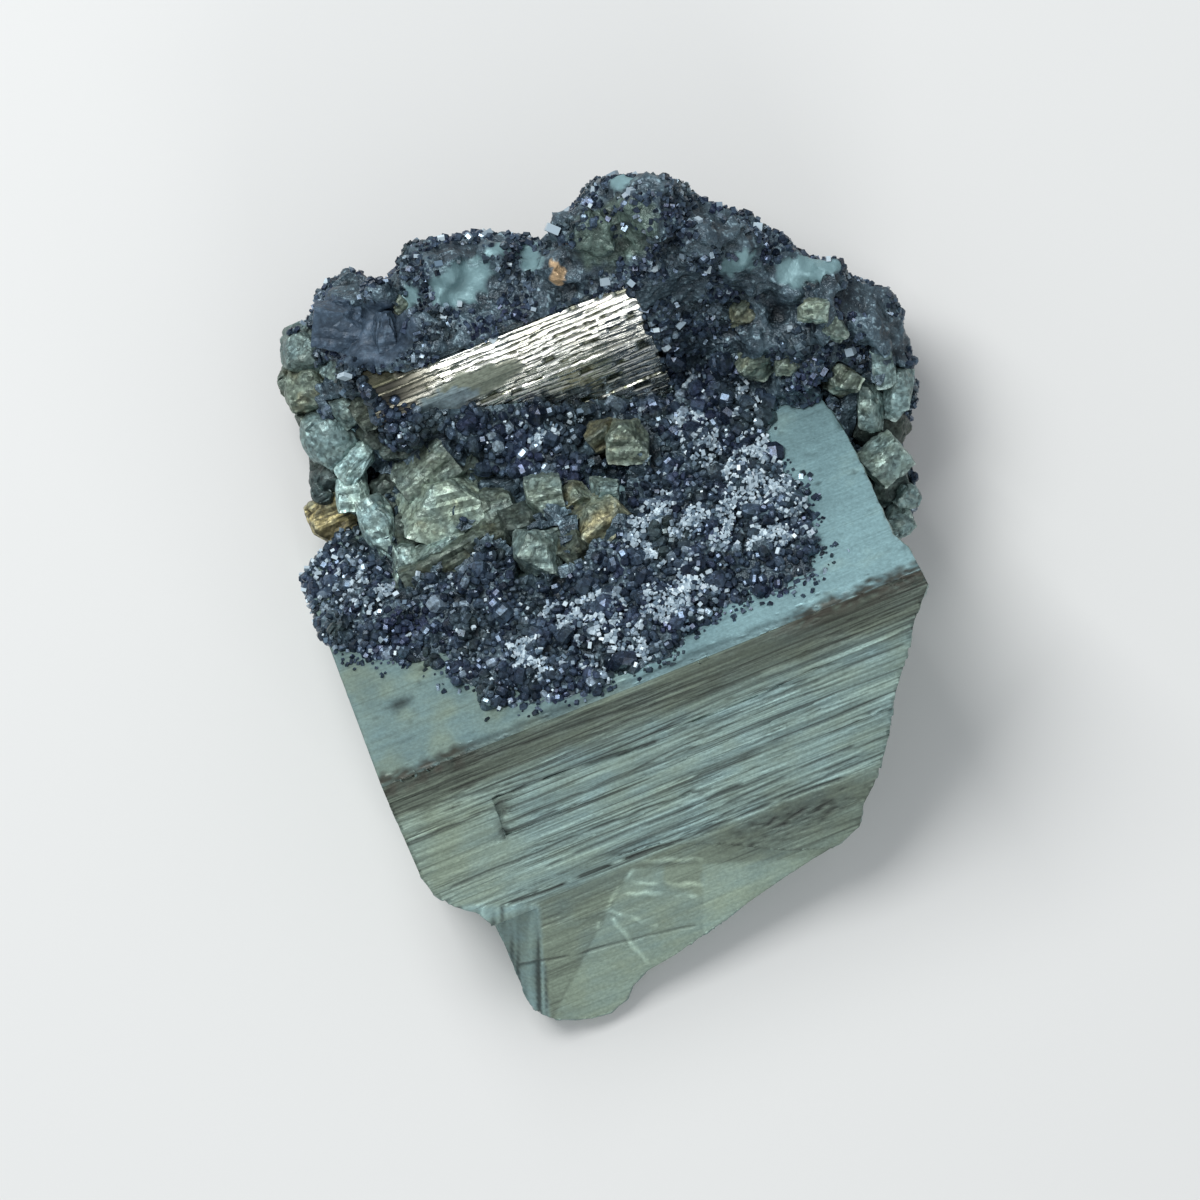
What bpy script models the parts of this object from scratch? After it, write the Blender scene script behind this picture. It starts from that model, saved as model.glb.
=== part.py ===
"""A pyrite specimen, lying on its back: a big striated crystal, a smaller bright one behind it, and the
dark matrix that both grew from, with a crust of small crystals between them. Run it in Blender, which
needs no other file."""

import math
import random

import bmesh
import bpy
from mathutils import Euler, Vector
from mathutils.geometry import delaunay_2d_cdt

MM = 0.001

# Sizes are in millimetres, in the big crystal's axes: u runs along its ridge from the left end, w runs
# across the ridge and away from the tip, level with the surface that the specimen lies on, and z is the
# height over that surface.
RIDGE_TURN = math.radians(22)  # from +X to the ridge
RIDGE_START = (-21.13, -18.51)  # the ridge's left end, in X and Y
RIDGE_HEIGHT = 34.0
SLOPE = math.sqrt(0.5)  # both faces of the ridge fall at 45 degrees
GAP = 0.35  # between pieces that touch
CLEAR = 5.0  # how far a cutter reaches past what it cuts

# The big crystal from above, anticlockwise from the back of its flat left side.
MAIN_OUTLINE = [
    (0.0, 22.2), (0.0, 0.0), (0.0, -9.7), (0.4, -11.8), (1.9, -14.0), (3.8, -15.5), (4.5, -16.9),
    (4.5, -25.0), (4.9, -27.1), (6.7, -28.9), (9.9, -30.2), (12.2, -30.5), (14.2, -29.8), (15.2, -28.8),
    (17.1, -27.9), (20.8, -27.3), (28.0, -25.4), (34.3, -23.9), (40.3, -22.7), (42.6, -21.9),
    (43.8, -19.9), (45.5, -18.4), (48.7, -14.3), (50.3, -11.1), (53.6, -6.7), (55.0, -4.4), (57.5, -1.6),
    (57.1, 2.5), (56.2, 4.3), (56.2, 9.6), (55.9, 15.7), (55.2, 19.2), (54.0, 24.0), (50.0, 28.0),
    (48.0, 33.0), (7.0, 33.0), (5.0, 25.0),
]
# Its walls, from the top down: share of the height of the face above, and inset as a share of that height.
MAIN_WALL = [(0.85, 0.0, 0.0), (0.5, 0.05, 0.03), (0.22, 0.08, 0.03), (0.0, 0.13, 0.02)]

# Ledges on the striated face: depth, and the area that is lower, from above.
LEDGES = [
    (0.45, [(9.6, -5.3), (9.2, -10.6), (7.0, -15.4), (-3, -15.4), (-3, -40), (62, -40), (62, -4.6),
            (36.0, -5.7)]),
    (0.65, [(-3, -9.9), (-3, -40), (62, -40), (62, -8.2)]),
    (0.85, [(-3, -13.4), (-3, -40), (62, -40), (62, -11.9)]),
    (1.3, [(-3, -15.6), (-3, -40), (62, -40), (46.0, -26.0), (34.8, -22.0), (28.6, -18.7), (23.1, -16.4),
           (12.7, -15.5)]),
]
TONGUE_EDGE = [(10.0, -17.2), (6.2, -27.6)]  # where the striated face turns down to the tongue's left side
TONGUE_SIDE_FALL = 0.9
CHIP_LIFT = 0.35  # height of a chip's middle over the face, as a share of its size
# Chips out of the ridge and pits in the striated face: u, w, and size along the ridge.
CHIPS = [
    (2.6, 0.8, 1.5), (5.2, 0.5, 1.2), (8.3, 0.8, 1.3), (33.9, 0.5, 1.1), (49.6, 0.1, 1.6),
    (52.8, -0.4, 1.9), (56.2, -0.2, 2.0), (27.0, -17.6, 1.0), (30.2, -18.9, 1.2), (43.2, -20.6, 1.2),
    (51.2, -9.6, 1.0),
]

# The second crystal: its front face is parallel to the big one's striated face.
SECOND_U = (13.0, 41.8)
SECOND_EDGE = (37.3, 21.0)  # w and z of its upper edge
SECOND_FRONT = 16.7  # length of the front face down its slope
SECOND_DEPTH = 9.0
SECOND_STEPS = [1.4, 3.1, 5.2, 7.9, 10.4, 13.6]  # distances from the upper edge where the face steps
SECOND_STEP_DEPTHS = [0.0, 0.4, 0.15, 0.55, 0.25, 0.7, 0.4]

# The matrix from above, anticlockwise from its left side, where it runs in under the big crystal.
MATRIX_OUTLINE = [
    (4.2, 23.5), (9.0, 22.0), (15.0, 30.0), (42.0, 30.0), (46.0, 26.0), (50.0, 18.0), (52.0, 4.0),
    (57.5, 4.0), (60.0, 6.4), (61.2, 9.0), (61.2, 12.0), (63.4, 14.8), (64.8, 17.0), (65.6, 20.2),
    (65.7, 23.6), (65.6, 27.2), (63.1, 29.8), (60.7, 32.2), (58.1, 34.3), (55.5, 38.5), (52.0, 42.1),
    (49.7, 44.5), (47.0, 46.7), (44.7, 47.9), (42.5, 47.9), (40.0, 47.3), (38.2, 46.4), (36.3, 45.2),
    (35.3, 44.5), (33.4, 45.5), (31.3, 46.9), (29.1, 47.9), (27.3, 48.1), (25.7, 48.8), (23.9, 49.3),
    (22.4, 49.3), (20.8, 48.2), (19.7, 47.4), (17.4, 48.0), (15.7, 49.6), (13.2, 49.3), (11.8, 48.6),
    (10.6, 46.6), (7.6, 45.8), (6.6, 42.0), (6.2, 38.5), (6.6, 36.0), (5.6, 33.0), (4.4, 30.0),
    (4.4, 27.0),
]
MATRIX_HIDDEN_POINTS = 7  # the first of those, which lie under the crystals and aren't drawn in
MATRIX_CENTRE = (34.0, 33.0)
# Heights of its top: u, w, z.
MATRIX_HEIGHTS = [
    (8, 43, 13), (13, 47, 15), (18, 44, 19), (26, 44, 21), (33, 44, 20), (39, 44, 25), (46, 44, 28),
    (50, 38, 26), (56, 34, 23), (60, 29, 21), (63, 24, 18), (63, 19, 15), (60, 14, 13), (58, 8, 12),
    (53, 29, 17), (47, 32, 17), (45, 25, 10), (14, 39, 21), (20, 39, 22), (27, 39, 22), (34, 39, 22),
    (41, 39, 23), (9, 30, 9), (5, 26, 7), (11, 35, 13),
]
# Its walls, from the top down: share of the height above, share drawn in towards the centre, and roughness.
MATRIX_WALL = [(0.78, 0.015, 0.3), (0.58, 0.0, 0.1), (0.4, 0.04, 0.8), (0.2, 0.06, 0.8), (0.0, 0.14, 0.5)]
MATRIX_SPACING = 2.9
MATRIX_ROUGHNESS = 0.9
# Lumps of the matrix: u, w, height of their middle over the top, size.
MATRIX_LUMPS = [
    (14.6, 46.0, 0.0, 2.6), (12.9, 42.9, 0.2, 2.2), (17.6, 45.6, 0.2, 2.3), (24.8, 45.6, 0.2, 2.8),
    (29.6, 44.6, 0.0, 2.5), (35.3, 41.7, -0.2, 2.2), (40.7, 43.4, -0.2, 3.4), (46.1, 43.4, -0.6, 3.8),
    (49.6, 38.7, -0.2, 2.8), (53.0, 36.3, -0.4, 3.0), (52.6, 30.0, 0.4, 2.0), (58.1, 27.7, 0.4, 2.2),
    (62.0, 25.0, -0.2, 2.8), (60.0, 30.5, -0.6, 2.6), (47.7, 34.1, 0.2, 2.0), (44.2, 39.8, 0.0, 2.4),
    (56.2, 30.4, 0.2, 1.7), (61.9, 20.2, 0.0, 2.2), (37.8, 45.0, -0.6, 2.2), (20.9, 41.2, 0.0, 2.2),
]
MATRIX_MARGIN_FALL = (2.6, 1.6)  # how far its top rounds down at the edge, and over what width
MATRIX_RIM = 0.88  # height of its edge, as a share of the height there
MATRIX_CRYSTALS = 36
MATRIX_CRYSTAL_SPACING = 3.0

# The small crystals on the matrix and on the crust.
CRYSTAL_SIZES = (1.3, 2.6)
CRYSTAL_SIDES = (0.8, 1.2)  # each side as a share of the size
CRYSTAL_TILTS = (10, 50)

# The crust from above, anticlockwise from its left end, and its thickness: u, w, thickness.
DRUSE_OUTLINE = [
    (0.5, 20.6), (0.4, 16.0), (1.0, 13.7), (2.4, 12.2), (5.8, 10.3), (9.3, 8.4), (11.4, 5.6), (12.8, 3.8),
    (15.3, 1.9), (18.9, 0.9), (23.2, 0.9), (27.7, 1.1), (31.6, 1.3), (33.9, 2.5), (36.8, 3.0),
    (41.6, 3.2), (45.4, 2.6), (48.0, 3.6), (50.3, 4.9), (48.9, 6.5), (49.9, 9.3), (50.4, 12.3),
    (49.2, 14.3), (48.4, 17.6), (50.3, 20.6), (52.6, 23.1), (49.9, 27.3), (46.8, 31.4), (44.4, 35.6),
    (42.6, 36.0), (42.6, 25.2), (38.6, 26.0), (34.4, 27.8), (30.6, 28.4), (26.9, 30.3), (22.4, 31.6),
    (18.1, 32.9), (13.3, 32.9), (9.9, 31.6), (7.6, 28.6), (5.4, 24.4),
]
DRUSE_THICKNESS = [
    (25, 18, 6.2), (33, 17, 5.2), (16, 22, 4.0), (38, 11, 3.6), (45, 9, 3.0), (45, 17, 3.2), (20, 9, 2.6),
    (30, 7, 2.6), (8, 17, 1.8), (25, 26, 4.6), (35, 24, 3.6), (15, 29, 2.2), (47, 25, 2.4), (46, 31, 1.8),
    (40, 5, 1.4), (15, 5, 1.3), (26, 2.5, 1.2), (5, 21, 1.4), (44, 34, 1.4), (9, 12, 1.2),
]
DRUSE_SPACING = 3.3
DRUSE_ROUGHNESS = 0.35  # share of the thickness
DRUSE_MARGIN = 0.7  # thickness at the edge
DRUSE_DEPTH = 3.0  # how far it reaches down past what it has grown on, before that is cut from it
DRUSE_OVER_MATRIX = -1.5  # height of the ground where it laps onto the matrix
DRUSE_CRYSTAL_SPACING = 3.9

# Small crystals: u, w, z of the middle, size along three axes, turn about z and tilt in degrees.
CLUSTER = [
    (15.8, 23.1, 13.2, (5.6, 4.8, 5.4), 12, 18), (16.4, 28.4, 11.6, (4.6, 3.8, 4.6), -20, 12),
    (9.6, 28.6, 9.6, (2.2, 6.6, 3.4), 12, -6), (9.2, 23.6, 11.8, (2.4, 6.0, 3.2), -14, 10),
    (13.1, 18.2, 15.8, (4.8, 3.8, 4.2), 30, 20), (25.6, 20.8, 18.2, (3.4, 3.6, 5.2), 40, 25),
    (23.0, 15.8, 21.6, (4.8, 4.2, 6.2), -15, -14), (29.6, 16.2, 20.8, (4.4, 3.4, 5.2), 22, 16),
    (34.4, 22.6, 15.4, (3.8, 3.2, 5.0), -28, 15), (20.2, 21.6, 15.6, (4.4, 4.4, 4.8), 5, 38),
    (26.6, 14.0, 22.4, (2.6, 2.8, 4.8), 50, 20), (31.8, 19.2, 17.6, (3.8, 3.6, 4.4), 10, 30),
    (11.6, 26.4, 9.4, (5.0, 5.0, 3.2), 20, 8), (13.2, 21.4, 13.0, (5.6, 5.0, 3.4), -10, 40),
    (18.6, 25.6, 11.4, (5.0, 4.4, 3.6), 25, 30), (17.4, 19.0, 16.0, (5.6, 4.6, 3.4), 15, 42),
    (22.8, 18.6, 17.6, (5.6, 4.6, 4.2), -10, 40), (27.6, 17.6, 18.4, (5.6, 4.4, 4.0), 12, 40),
]
LEFT_RIM = [
    (8.3, 43.4, 10.6, (4.2, 4.4, 5.4), 20, 20), (7.7, 39.8, 10.4, (4.4, 4.6, 5.0), -15, 20),
    (11.7, 40.4, 13.0, (3.6, 3.6, 4.8), 30, 18), (10.9, 36.8, 11.8, (3.6, 3.4, 5.2), 10, 20),
    (6.1, 30.6, 8.2, (3.6, 3.6, 5.0), 35, 10), (5.4, 26.8, 6.8, (4.6, 3.4, 4.6), -22, 6),
    (10.1, 43.0, 10.0, (4.0, 4.6, 5.0), 5, 30),
]
LEFT_RIM_PEBBLES = [
    (7.8, 34.4, 9.8, 3.3), (4.9, 29.6, 9.4, 1.7), (7.1, 36.8, 9.2, 2.4), (7.1, 31.8, 7.6, 2.6),
    (6.1, 28.4, 6.4, 2.3), (8.7, 45.0, 9.6, 1.9), (6.3, 41.4, 9.0, 1.9),
]
RIGHT_RIM = [
    (62.5, 17.4, 13.2, (2.8, 5.4, 5.0), -30, 12), (59.5, 17.2, 13.6, (2.6, 4.8, 5.0), -22, 15),
    (58.5, 11.7, 14.6, (4.4, 4.2, 5.4), 18, 14), (57.4, 20.6, 15.6, (2.8, 3.0, 5.0), 40, 20),
    (60.3, 14.4, 11.2, (4.0, 4.2, 4.2), 12, 30), (58.9, 14.8, 12.0, (3.8, 4.0, 4.6), 45, 20),
    (58.9, 7.8, 11.6, (2.9, 3.0, 4.6), 25, 26), (57.7, 5.6, 12.4, (2.8, 2.6, 4.6), 8, 25),
    (58.3, 9.2, 11.4, (3.8, 4.0, 4.6), -12, 20),
]


def main_height(u, w):
    return RIDGE_HEIGHT - abs(w)


def second_height(u, w):
    """Height of the second crystal's front face, which is well below everything outside it."""
    inside = SECOND_U[0] <= u <= SECOND_U[1] and w <= SECOND_EDGE[0]
    return SECOND_EDGE[1] + w - SECOND_EDGE[0] if inside else 0.0


def blended(controls, u, w):
    """The value at (u, w) of a smooth surface near the control points."""
    softness, falloff = 0.5, 1.6
    total = weights = 0.0
    for at_u, at_w, value in controls:
        weight = 1 / (softness + (u - at_u) ** 2 + (w - at_w) ** 2) ** falloff
        total += weight * value
        weights += weight
    return total / weights


def matrix_height(u, w):
    return blended(MATRIX_HEIGHTS, u, w)


def druse_ground(u, w):
    """Height of whatever the crust has grown on."""
    beside_second = u > SECOND_U[1] or u < SECOND_U[0]
    on_matrix = matrix_height(u, w) + DRUSE_OVER_MATRIX if beside_second else 0.0
    return max(main_height(u, w), second_height(u, w), on_matrix)


def edge_distance(outline, u, w):
    nearest = math.inf
    for index, (u1, w1) in enumerate(outline):
        u0, w0 = outline[index - 1]
        along_u, along_w = u1 - u0, w1 - w0
        share = ((u - u0) * along_u + (w - w0) * along_w) / (along_u**2 + along_w**2)
        share = min(max(share, 0.0), 1.0)
        nearest = min(nearest, math.hypot(u - u0 - share * along_u, w - w0 - share * along_w))
    return nearest


def is_inside(outline, u, w):
    crossings = 0
    for index, (u1, w1) in enumerate(outline):
        u0, w0 = outline[index - 1]
        if (w0 > w) != (w1 > w) and u < u0 + (w - w0) * (u1 - u0) / (w1 - w0):
            crossings += 1
    return crossings % 2 == 1


def scattered(outline, spacing, clearance, chance):
    """Points on a jittered honeycomb, inside the outline and at least the clearance from it."""
    row_height = math.sin(math.radians(60))
    jitter = 0.33
    points = []
    left, right = min(u for u, w in outline), max(u for u, w in outline)
    bottom, top = min(w for u, w in outline), max(w for u, w in outline)
    for row in range(int((top - bottom) / spacing / row_height) + 1):
        for column in range(int((right - left) / spacing) + 2):
            u = left + spacing * (column - 0.5 * (row % 2) + chance.uniform(-jitter, jitter))
            w = bottom + spacing * (row_height * row + chance.uniform(-jitter, jitter))
            if is_inside(outline, u, w) and edge_distance(outline, u, w) > clearance:
                points.append((u, w))
    return points


def inward_directions(outline):
    directions = []
    for index in range(len(outline)):
        before, after = Vector(outline[index - 1]), Vector(outline[(index + 1) % len(outline)])
        along = (after - before).normalized()
        directions.append(Vector((-along.y, along.x)))
    return directions


def new_object(name, bm):
    """An object with the bmesh's closed shells, which point out. The bmesh is freed."""
    bmesh.ops.recalc_face_normals(bm, faces=bm.faces[:])
    mesh = bpy.data.meshes.new(name)
    bm.to_mesh(mesh)
    bm.free()
    piece = bpy.data.objects.new(name, mesh)
    bpy.context.scene.collection.objects.link(piece)
    return piece


def add_ring(bm, points):
    return [bm.verts.new(Vector(point) * MM) for point in points]


def add_wall(bm, upper, lower):
    for index in range(len(upper)):
        bm.faces.new((upper[index - 1], lower[index - 1], lower[index]))
        bm.faces.new((upper[index - 1], lower[index], upper[index]))


def add_hull(bm, points):
    verts = [bm.verts.new(Vector(point) * MM) for point in points]
    made = bmesh.ops.convex_hull(bm, input=verts)
    bmesh.ops.delete(bm, geom=list({*made["geom_interior"], *made["geom_unused"]}), context="VERTS")


def add_box(bm, centre, sides, turn, tilt):
    """A crystal: a box turned about z and leaning, by the full tilt one way and by part of it the other."""
    second_tilt = 0.6 * tilt
    rotation = Euler((math.radians(tilt), math.radians(second_tilt), math.radians(turn))).to_matrix()
    corners = [
        Vector(centre) + rotation @ Vector((a * sides[0] / 2, b * sides[1] / 2, c * sides[2] / 2))
        for a in (-1, 1) for b in (-1, 1) for c in (-1, 1)
    ]
    add_hull(bm, corners)


def add_small_crystal(bm, centre, chance):
    size = chance.uniform(*CRYSTAL_SIZES)
    sides = [size * chance.uniform(*CRYSTAL_SIDES) for _ in range(3)]
    add_box(bm, centre, sides, chance.uniform(0, 90), chance.uniform(*CRYSTAL_TILTS))


def add_rock(bm, centre, size, chance, corners=13):
    """A lump with flat faces: the hull of points spread over a ball, along a spiral."""
    golden_angle = 2.4
    points = []
    for index in range(corners):
        height = 1 - 2 * (index + 0.5) / corners
        turn = index * golden_angle + chance.uniform(-0.4, 0.4)
        radius = size * chance.uniform(0.82, 1.12)
        flat = math.sqrt(1 - height * height)
        direction = Vector((flat * math.cos(turn), flat * math.sin(turn), height))
        points.append(Vector(centre) + radius * direction)
    add_hull(bm, points)


def profile_bar(name, profile, ends):
    """A bar along u whose section is the profile of w and z."""
    bm = bmesh.new()
    first = add_ring(bm, [(ends[0], w, z) for w, z in profile])
    last = add_ring(bm, [(ends[1], w, z) for w, z in profile])
    bm.faces.new(first)
    bm.faces.new(last)
    add_wall(bm, first, last)
    return new_object(name, bm)


def walled_block(name, outline, height, wall, chance, held=()):
    """A closed block: a flat top clear over it all, then the wall's rings, each drawn in, to a flat base."""
    directions = inward_directions(outline)
    bm = bmesh.new()
    rings = [add_ring(bm, [(u, w, RIDGE_HEIGHT + CLEAR) for u, w in outline])]
    for share, inset, jitter in wall:
        ring = []
        for index, (u, w) in enumerate(outline):
            level = height(u, w)
            drawn_in = level * (inset + chance.uniform(-jitter, jitter)) * directions[index]
            place = Vector((u, w)) if index in held else Vector((u, w)) + drawn_in
            ring.append((place.x, place.y, share * level))
        rings.append(add_ring(bm, ring))
    for upper, lower in zip(rings, rings[1:]):
        add_wall(bm, upper, lower)
    bm.faces.new(rings[0])
    bm.faces.new(rings[-1])
    return new_object(name, bm)


def surface_mesh(bm, outline, inner, height):
    """Triangles over the outline, with the inner points. Returns the outline's corners in order."""
    plan = [Vector(point) for point in outline + inner]
    inside_only, near = 1, 1e-5
    border = list(range(len(outline)))
    corners, _, faces, origins, _, _ = delaunay_2d_cdt(plan, [], [border], inside_only, near)
    verts = add_ring(bm, [(corner.x, corner.y, height(corner.x, corner.y)) for corner in corners])
    for face in faces:
        bm.faces.new([verts[index] for index in face])
    place = {source: index for index, sources in enumerate(origins) for source in sources}
    return [verts[place[index]] for index in range(len(outline))]


def boolean(piece, operation, other):
    """Applies the operation to the piece's mesh."""
    modifier = piece.modifiers.new(operation, "BOOLEAN")
    modifier.operation = operation
    modifier.solver = "EXACT"
    modifier.use_self = True
    modifier.object = other
    bpy.context.view_layer.update()
    graph = bpy.context.evaluated_depsgraph_get()
    result = bpy.data.meshes.new_from_object(piece.evaluated_get(graph))
    piece.modifiers.clear()
    old = piece.data
    piece.data = result
    bpy.data.meshes.remove(old)


def cut(piece, cutter):
    boolean(piece, "DIFFERENCE", cutter)
    bpy.data.objects.remove(cutter, do_unlink=True)


def room_for(piece):
    """The piece's shape, before its neighbours are cut from it, with each face moved out by the gap."""
    longest_move = 1.8  # at a sharp corner, in gaps
    bm = bmesh.new()
    bm.from_mesh(piece.data)
    bmesh.ops.triangulate(bm, faces=bm.faces[:])
    bm.normal_update()
    moves = [
        (vert, vert.normal * GAP * MM * min(vert.calc_shell_factor(), longest_move)) for vert in bm.verts
    ]
    for vert, move in moves:
        vert.co += move
    room = new_object(piece.name + "_room", bm)
    room.hide_render = True
    room.display_type = "WIRE"
    return room


def island_volume(faces):
    volume = 0.0
    for face in faces:
        first = face.verts[0].co
        for one, two in zip(face.verts[1:], face.verts[2:]):
            volume += first.dot(one.co.cross(two.co))
    return volume / 6


def keep_one_body(piece):
    """Leaves only the largest body, without the crumbs that a cut leaves."""
    bm = bmesh.new()
    bm.from_mesh(piece.data)
    bmesh.ops.triangulate(bm, faces=bm.faces[:])
    unseen = set(bm.faces)
    islands = []
    while unseen:
        front = [unseen.pop()]
        island = list(front)
        while front:
            face = front.pop()
            for edge in face.edges:
                for neighbour in edge.link_faces:
                    if neighbour in unseen:
                        unseen.remove(neighbour)
                        front.append(neighbour)
                        island.append(neighbour)
        islands.append(island)
    islands.sort(key=lambda island: -abs(island_volume(island)))
    crumbs = [face for island in islands[1:] for face in island]
    bmesh.ops.delete(bm, geom=crumbs, context="FACES")
    bm.to_mesh(piece.data)
    bm.free()


def cut_clear(piece, rooms):
    for room in rooms:
        boolean(piece, "DIFFERENCE", room)
    keep_one_body(piece)


def on_striated_face(u, w, height):
    """The point over (u, w) of the striated face, at the given distance out from it."""
    return (u, w - SLOPE * height, RIDGE_HEIGHT + w + SLOPE * height)


def ledge_cutter(depth, area):
    bm = bmesh.new()
    upper = add_ring(bm, [on_striated_face(u, w, CLEAR) for u, w in area])
    lower = add_ring(bm, [on_striated_face(u, w, -depth) for u, w in area])
    bm.faces.new(upper)
    bm.faces.new(lower)
    add_wall(bm, upper, lower)
    return new_object("ledge", bm)


def tongue_cutter():
    """Takes the tongue's left side down to a plane that falls away from the tongue's edge."""
    reach = 9.0
    points = []
    for u, w in TONGUE_EDGE:
        z = RIDGE_HEIGHT + w - LEDGES[-1][0]
        points += [(u, w, z), (u, w, z + reach)]
        points += [(u - reach, w, z - reach * TONGUE_SIDE_FALL), (u - reach, w, z + reach)]
    bm = bmesh.new()
    add_hull(bm, points)
    return new_object("tongue_side", bm)


def main_cube():
    chance = random.Random(3)
    left_side = (0, 1, 2)
    piece = walled_block("main_cube", MAIN_OUTLINE, main_height, MAIN_WALL, chance, left_side)
    foot = RIDGE_HEIGHT + CLEAR
    last_u = max(u for u, w in MAIN_OUTLINE)
    wedge = profile_bar(
        "wedge", [(-foot, -CLEAR), (foot, -CLEAR), (0, RIDGE_HEIGHT)], (-CLEAR, last_u + CLEAR)
    )
    boolean(piece, "INTERSECT", wedge)
    bpy.data.objects.remove(wedge, do_unlink=True)
    for depth, area in LEDGES:
        cut(piece, ledge_cutter(depth, area))
    cut(piece, tongue_cutter())
    bm = bmesh.new()
    for u, w, size in CHIPS:
        add_rock(bm, (u, w, main_height(u, w) + CHIP_LIFT * size), size, chance, 9)
    cut(piece, new_object("chips", bm))
    keep_one_body(piece)
    return piece


def second_cube():
    """A stepped front face, and three plain sides that the matrix holds."""
    top_w, top_z = SECOND_EDGE
    stops = [0.0, *SECOND_STEPS, SECOND_FRONT]
    profile = []
    for start, end, depth in zip(stops, stops[1:], SECOND_STEP_DEPTHS):
        for along in (start, end):
            profile.append((top_w - SLOPE * along + SLOPE * depth, top_z - SLOPE * along - SLOPE * depth))
    last_w, last_z = profile[-1]
    profile += [(last_w + SLOPE * SECOND_DEPTH, last_z - SLOPE * SECOND_DEPTH)]
    profile += [(top_w + SLOPE * SECOND_DEPTH, top_z - SLOPE * SECOND_DEPTH)]
    return profile_bar("second_cube", profile, SECOND_U)


def view_cutter():
    """Keeps the matrix off the second crystal's front face, up to its upper edge."""
    top_w, top_z = SECOND_EDGE
    back, under = top_w + 0.1, top_z - 1.0
    high, low = RIDGE_HEIGHT + CLEAR, -CLEAR
    profile = [(back, under), (back, high), (low, high), (low, under - top_w + low)]
    return profile_bar("view", profile, SECOND_U)


def crystal_group(name, crystals, pebbles, seed):
    chance = random.Random(seed)
    bm = bmesh.new()
    for u, w, z, sides, turn, tilt in crystals:
        add_box(bm, (u, w, z), sides, turn, tilt)
    for u, w, z, size in pebbles:
        add_rock(bm, (u, w, z), size, chance, 14)
    return new_object(name, bm)


def matrix():
    chance = random.Random(11)
    centre = Vector(MATRIX_CENTRE)
    fall, fall_width = MATRIX_MARGIN_FALL
    inner = scattered(MATRIX_OUTLINE, MATRIX_SPACING, fall_width, chance)

    def rough_top(u, w):
        drop = fall * math.exp(-edge_distance(MATRIX_OUTLINE, u, w) / fall_width)
        return matrix_height(u, w) - drop + chance.uniform(-MATRIX_ROUGHNESS, MATRIX_ROUGHNESS)

    bm = bmesh.new()
    rings = [surface_mesh(bm, MATRIX_OUTLINE, inner, rough_top)]
    for share, drawn_in, jitter in MATRIX_WALL:
        ring = []
        for index, (u, w) in enumerate(MATRIX_OUTLINE):
            place = Vector((u, w))
            if index >= MATRIX_HIDDEN_POINTS:
                rough = Vector((chance.uniform(-jitter, jitter), chance.uniform(-jitter, jitter)))
                place = place.lerp(centre, drawn_in) + rough
            ring.append((place.x, place.y, share * matrix_height(u, w)))
        rings.append(add_ring(bm, ring))
    for vert, (u, w) in zip(rings[0], MATRIX_OUTLINE):
        vert.co.z = MATRIX_RIM * matrix_height(u, w) * MM
    for upper, lower in zip(rings, rings[1:]):
        add_wall(bm, upper, lower)
    bm.faces.new(rings[-1])
    for u, w, lift, size in MATRIX_LUMPS:
        sunk = 0.3 * size
        add_rock(bm, (u, w, matrix_height(u, w) + lift - sunk), size, chance)
    places = scattered(MATRIX_OUTLINE, MATRIX_CRYSTAL_SPACING, fall_width, chance)
    for u, w in chance.sample(places, MATRIX_CRYSTALS):
        add_small_crystal(bm, (u, w, matrix_height(u, w)), chance)
    piece = new_object("matrix", bm)
    cut(piece, view_cutter())
    return piece


def druse():
    chance = random.Random(5)
    inner = scattered(DRUSE_OUTLINE, DRUSE_SPACING, DRUSE_SPACING / 3, chance)

    def thickness(u, w):
        fade = min(edge_distance(DRUSE_OUTLINE, u, w) / DRUSE_SPACING, 1.0)
        return DRUSE_MARGIN + fade * (blended(DRUSE_THICKNESS, u, w) - DRUSE_MARGIN)

    def rough_top(u, w):
        rough = DRUSE_ROUGHNESS * (thickness(u, w) - DRUSE_MARGIN)
        return druse_ground(u, w) + thickness(u, w) + chance.uniform(-rough, rough)

    bm = bmesh.new()
    upper = surface_mesh(bm, DRUSE_OUTLINE, inner, rough_top)
    lower = surface_mesh(bm, DRUSE_OUTLINE, inner, lambda u, w: druse_ground(u, w) - DRUSE_DEPTH)
    add_wall(bm, upper, lower)
    for u, w in scattered(DRUSE_OUTLINE, DRUSE_CRYSTAL_SPACING, DRUSE_MARGIN, chance):
        add_small_crystal(bm, (u, w, druse_ground(u, w) + thickness(u, w)), chance)
    return new_object("druse", bm)


def finish(piece, colour, roughness, metallic):
    material = bpy.data.materials.new(piece.name)
    material.use_nodes = True
    shader = material.node_tree.nodes["Principled BSDF"]
    shader.inputs["Base Color"].default_value = (*colour, 1.0)
    shader.inputs["Roughness"].default_value = roughness
    shader.inputs["Metallic"].default_value = metallic
    piece.data.materials.clear()
    piece.data.materials.append(material)


def remove_all_objects():
    for thing in list(bpy.data.objects):
        bpy.data.objects.remove(thing, do_unlink=True)


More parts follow.
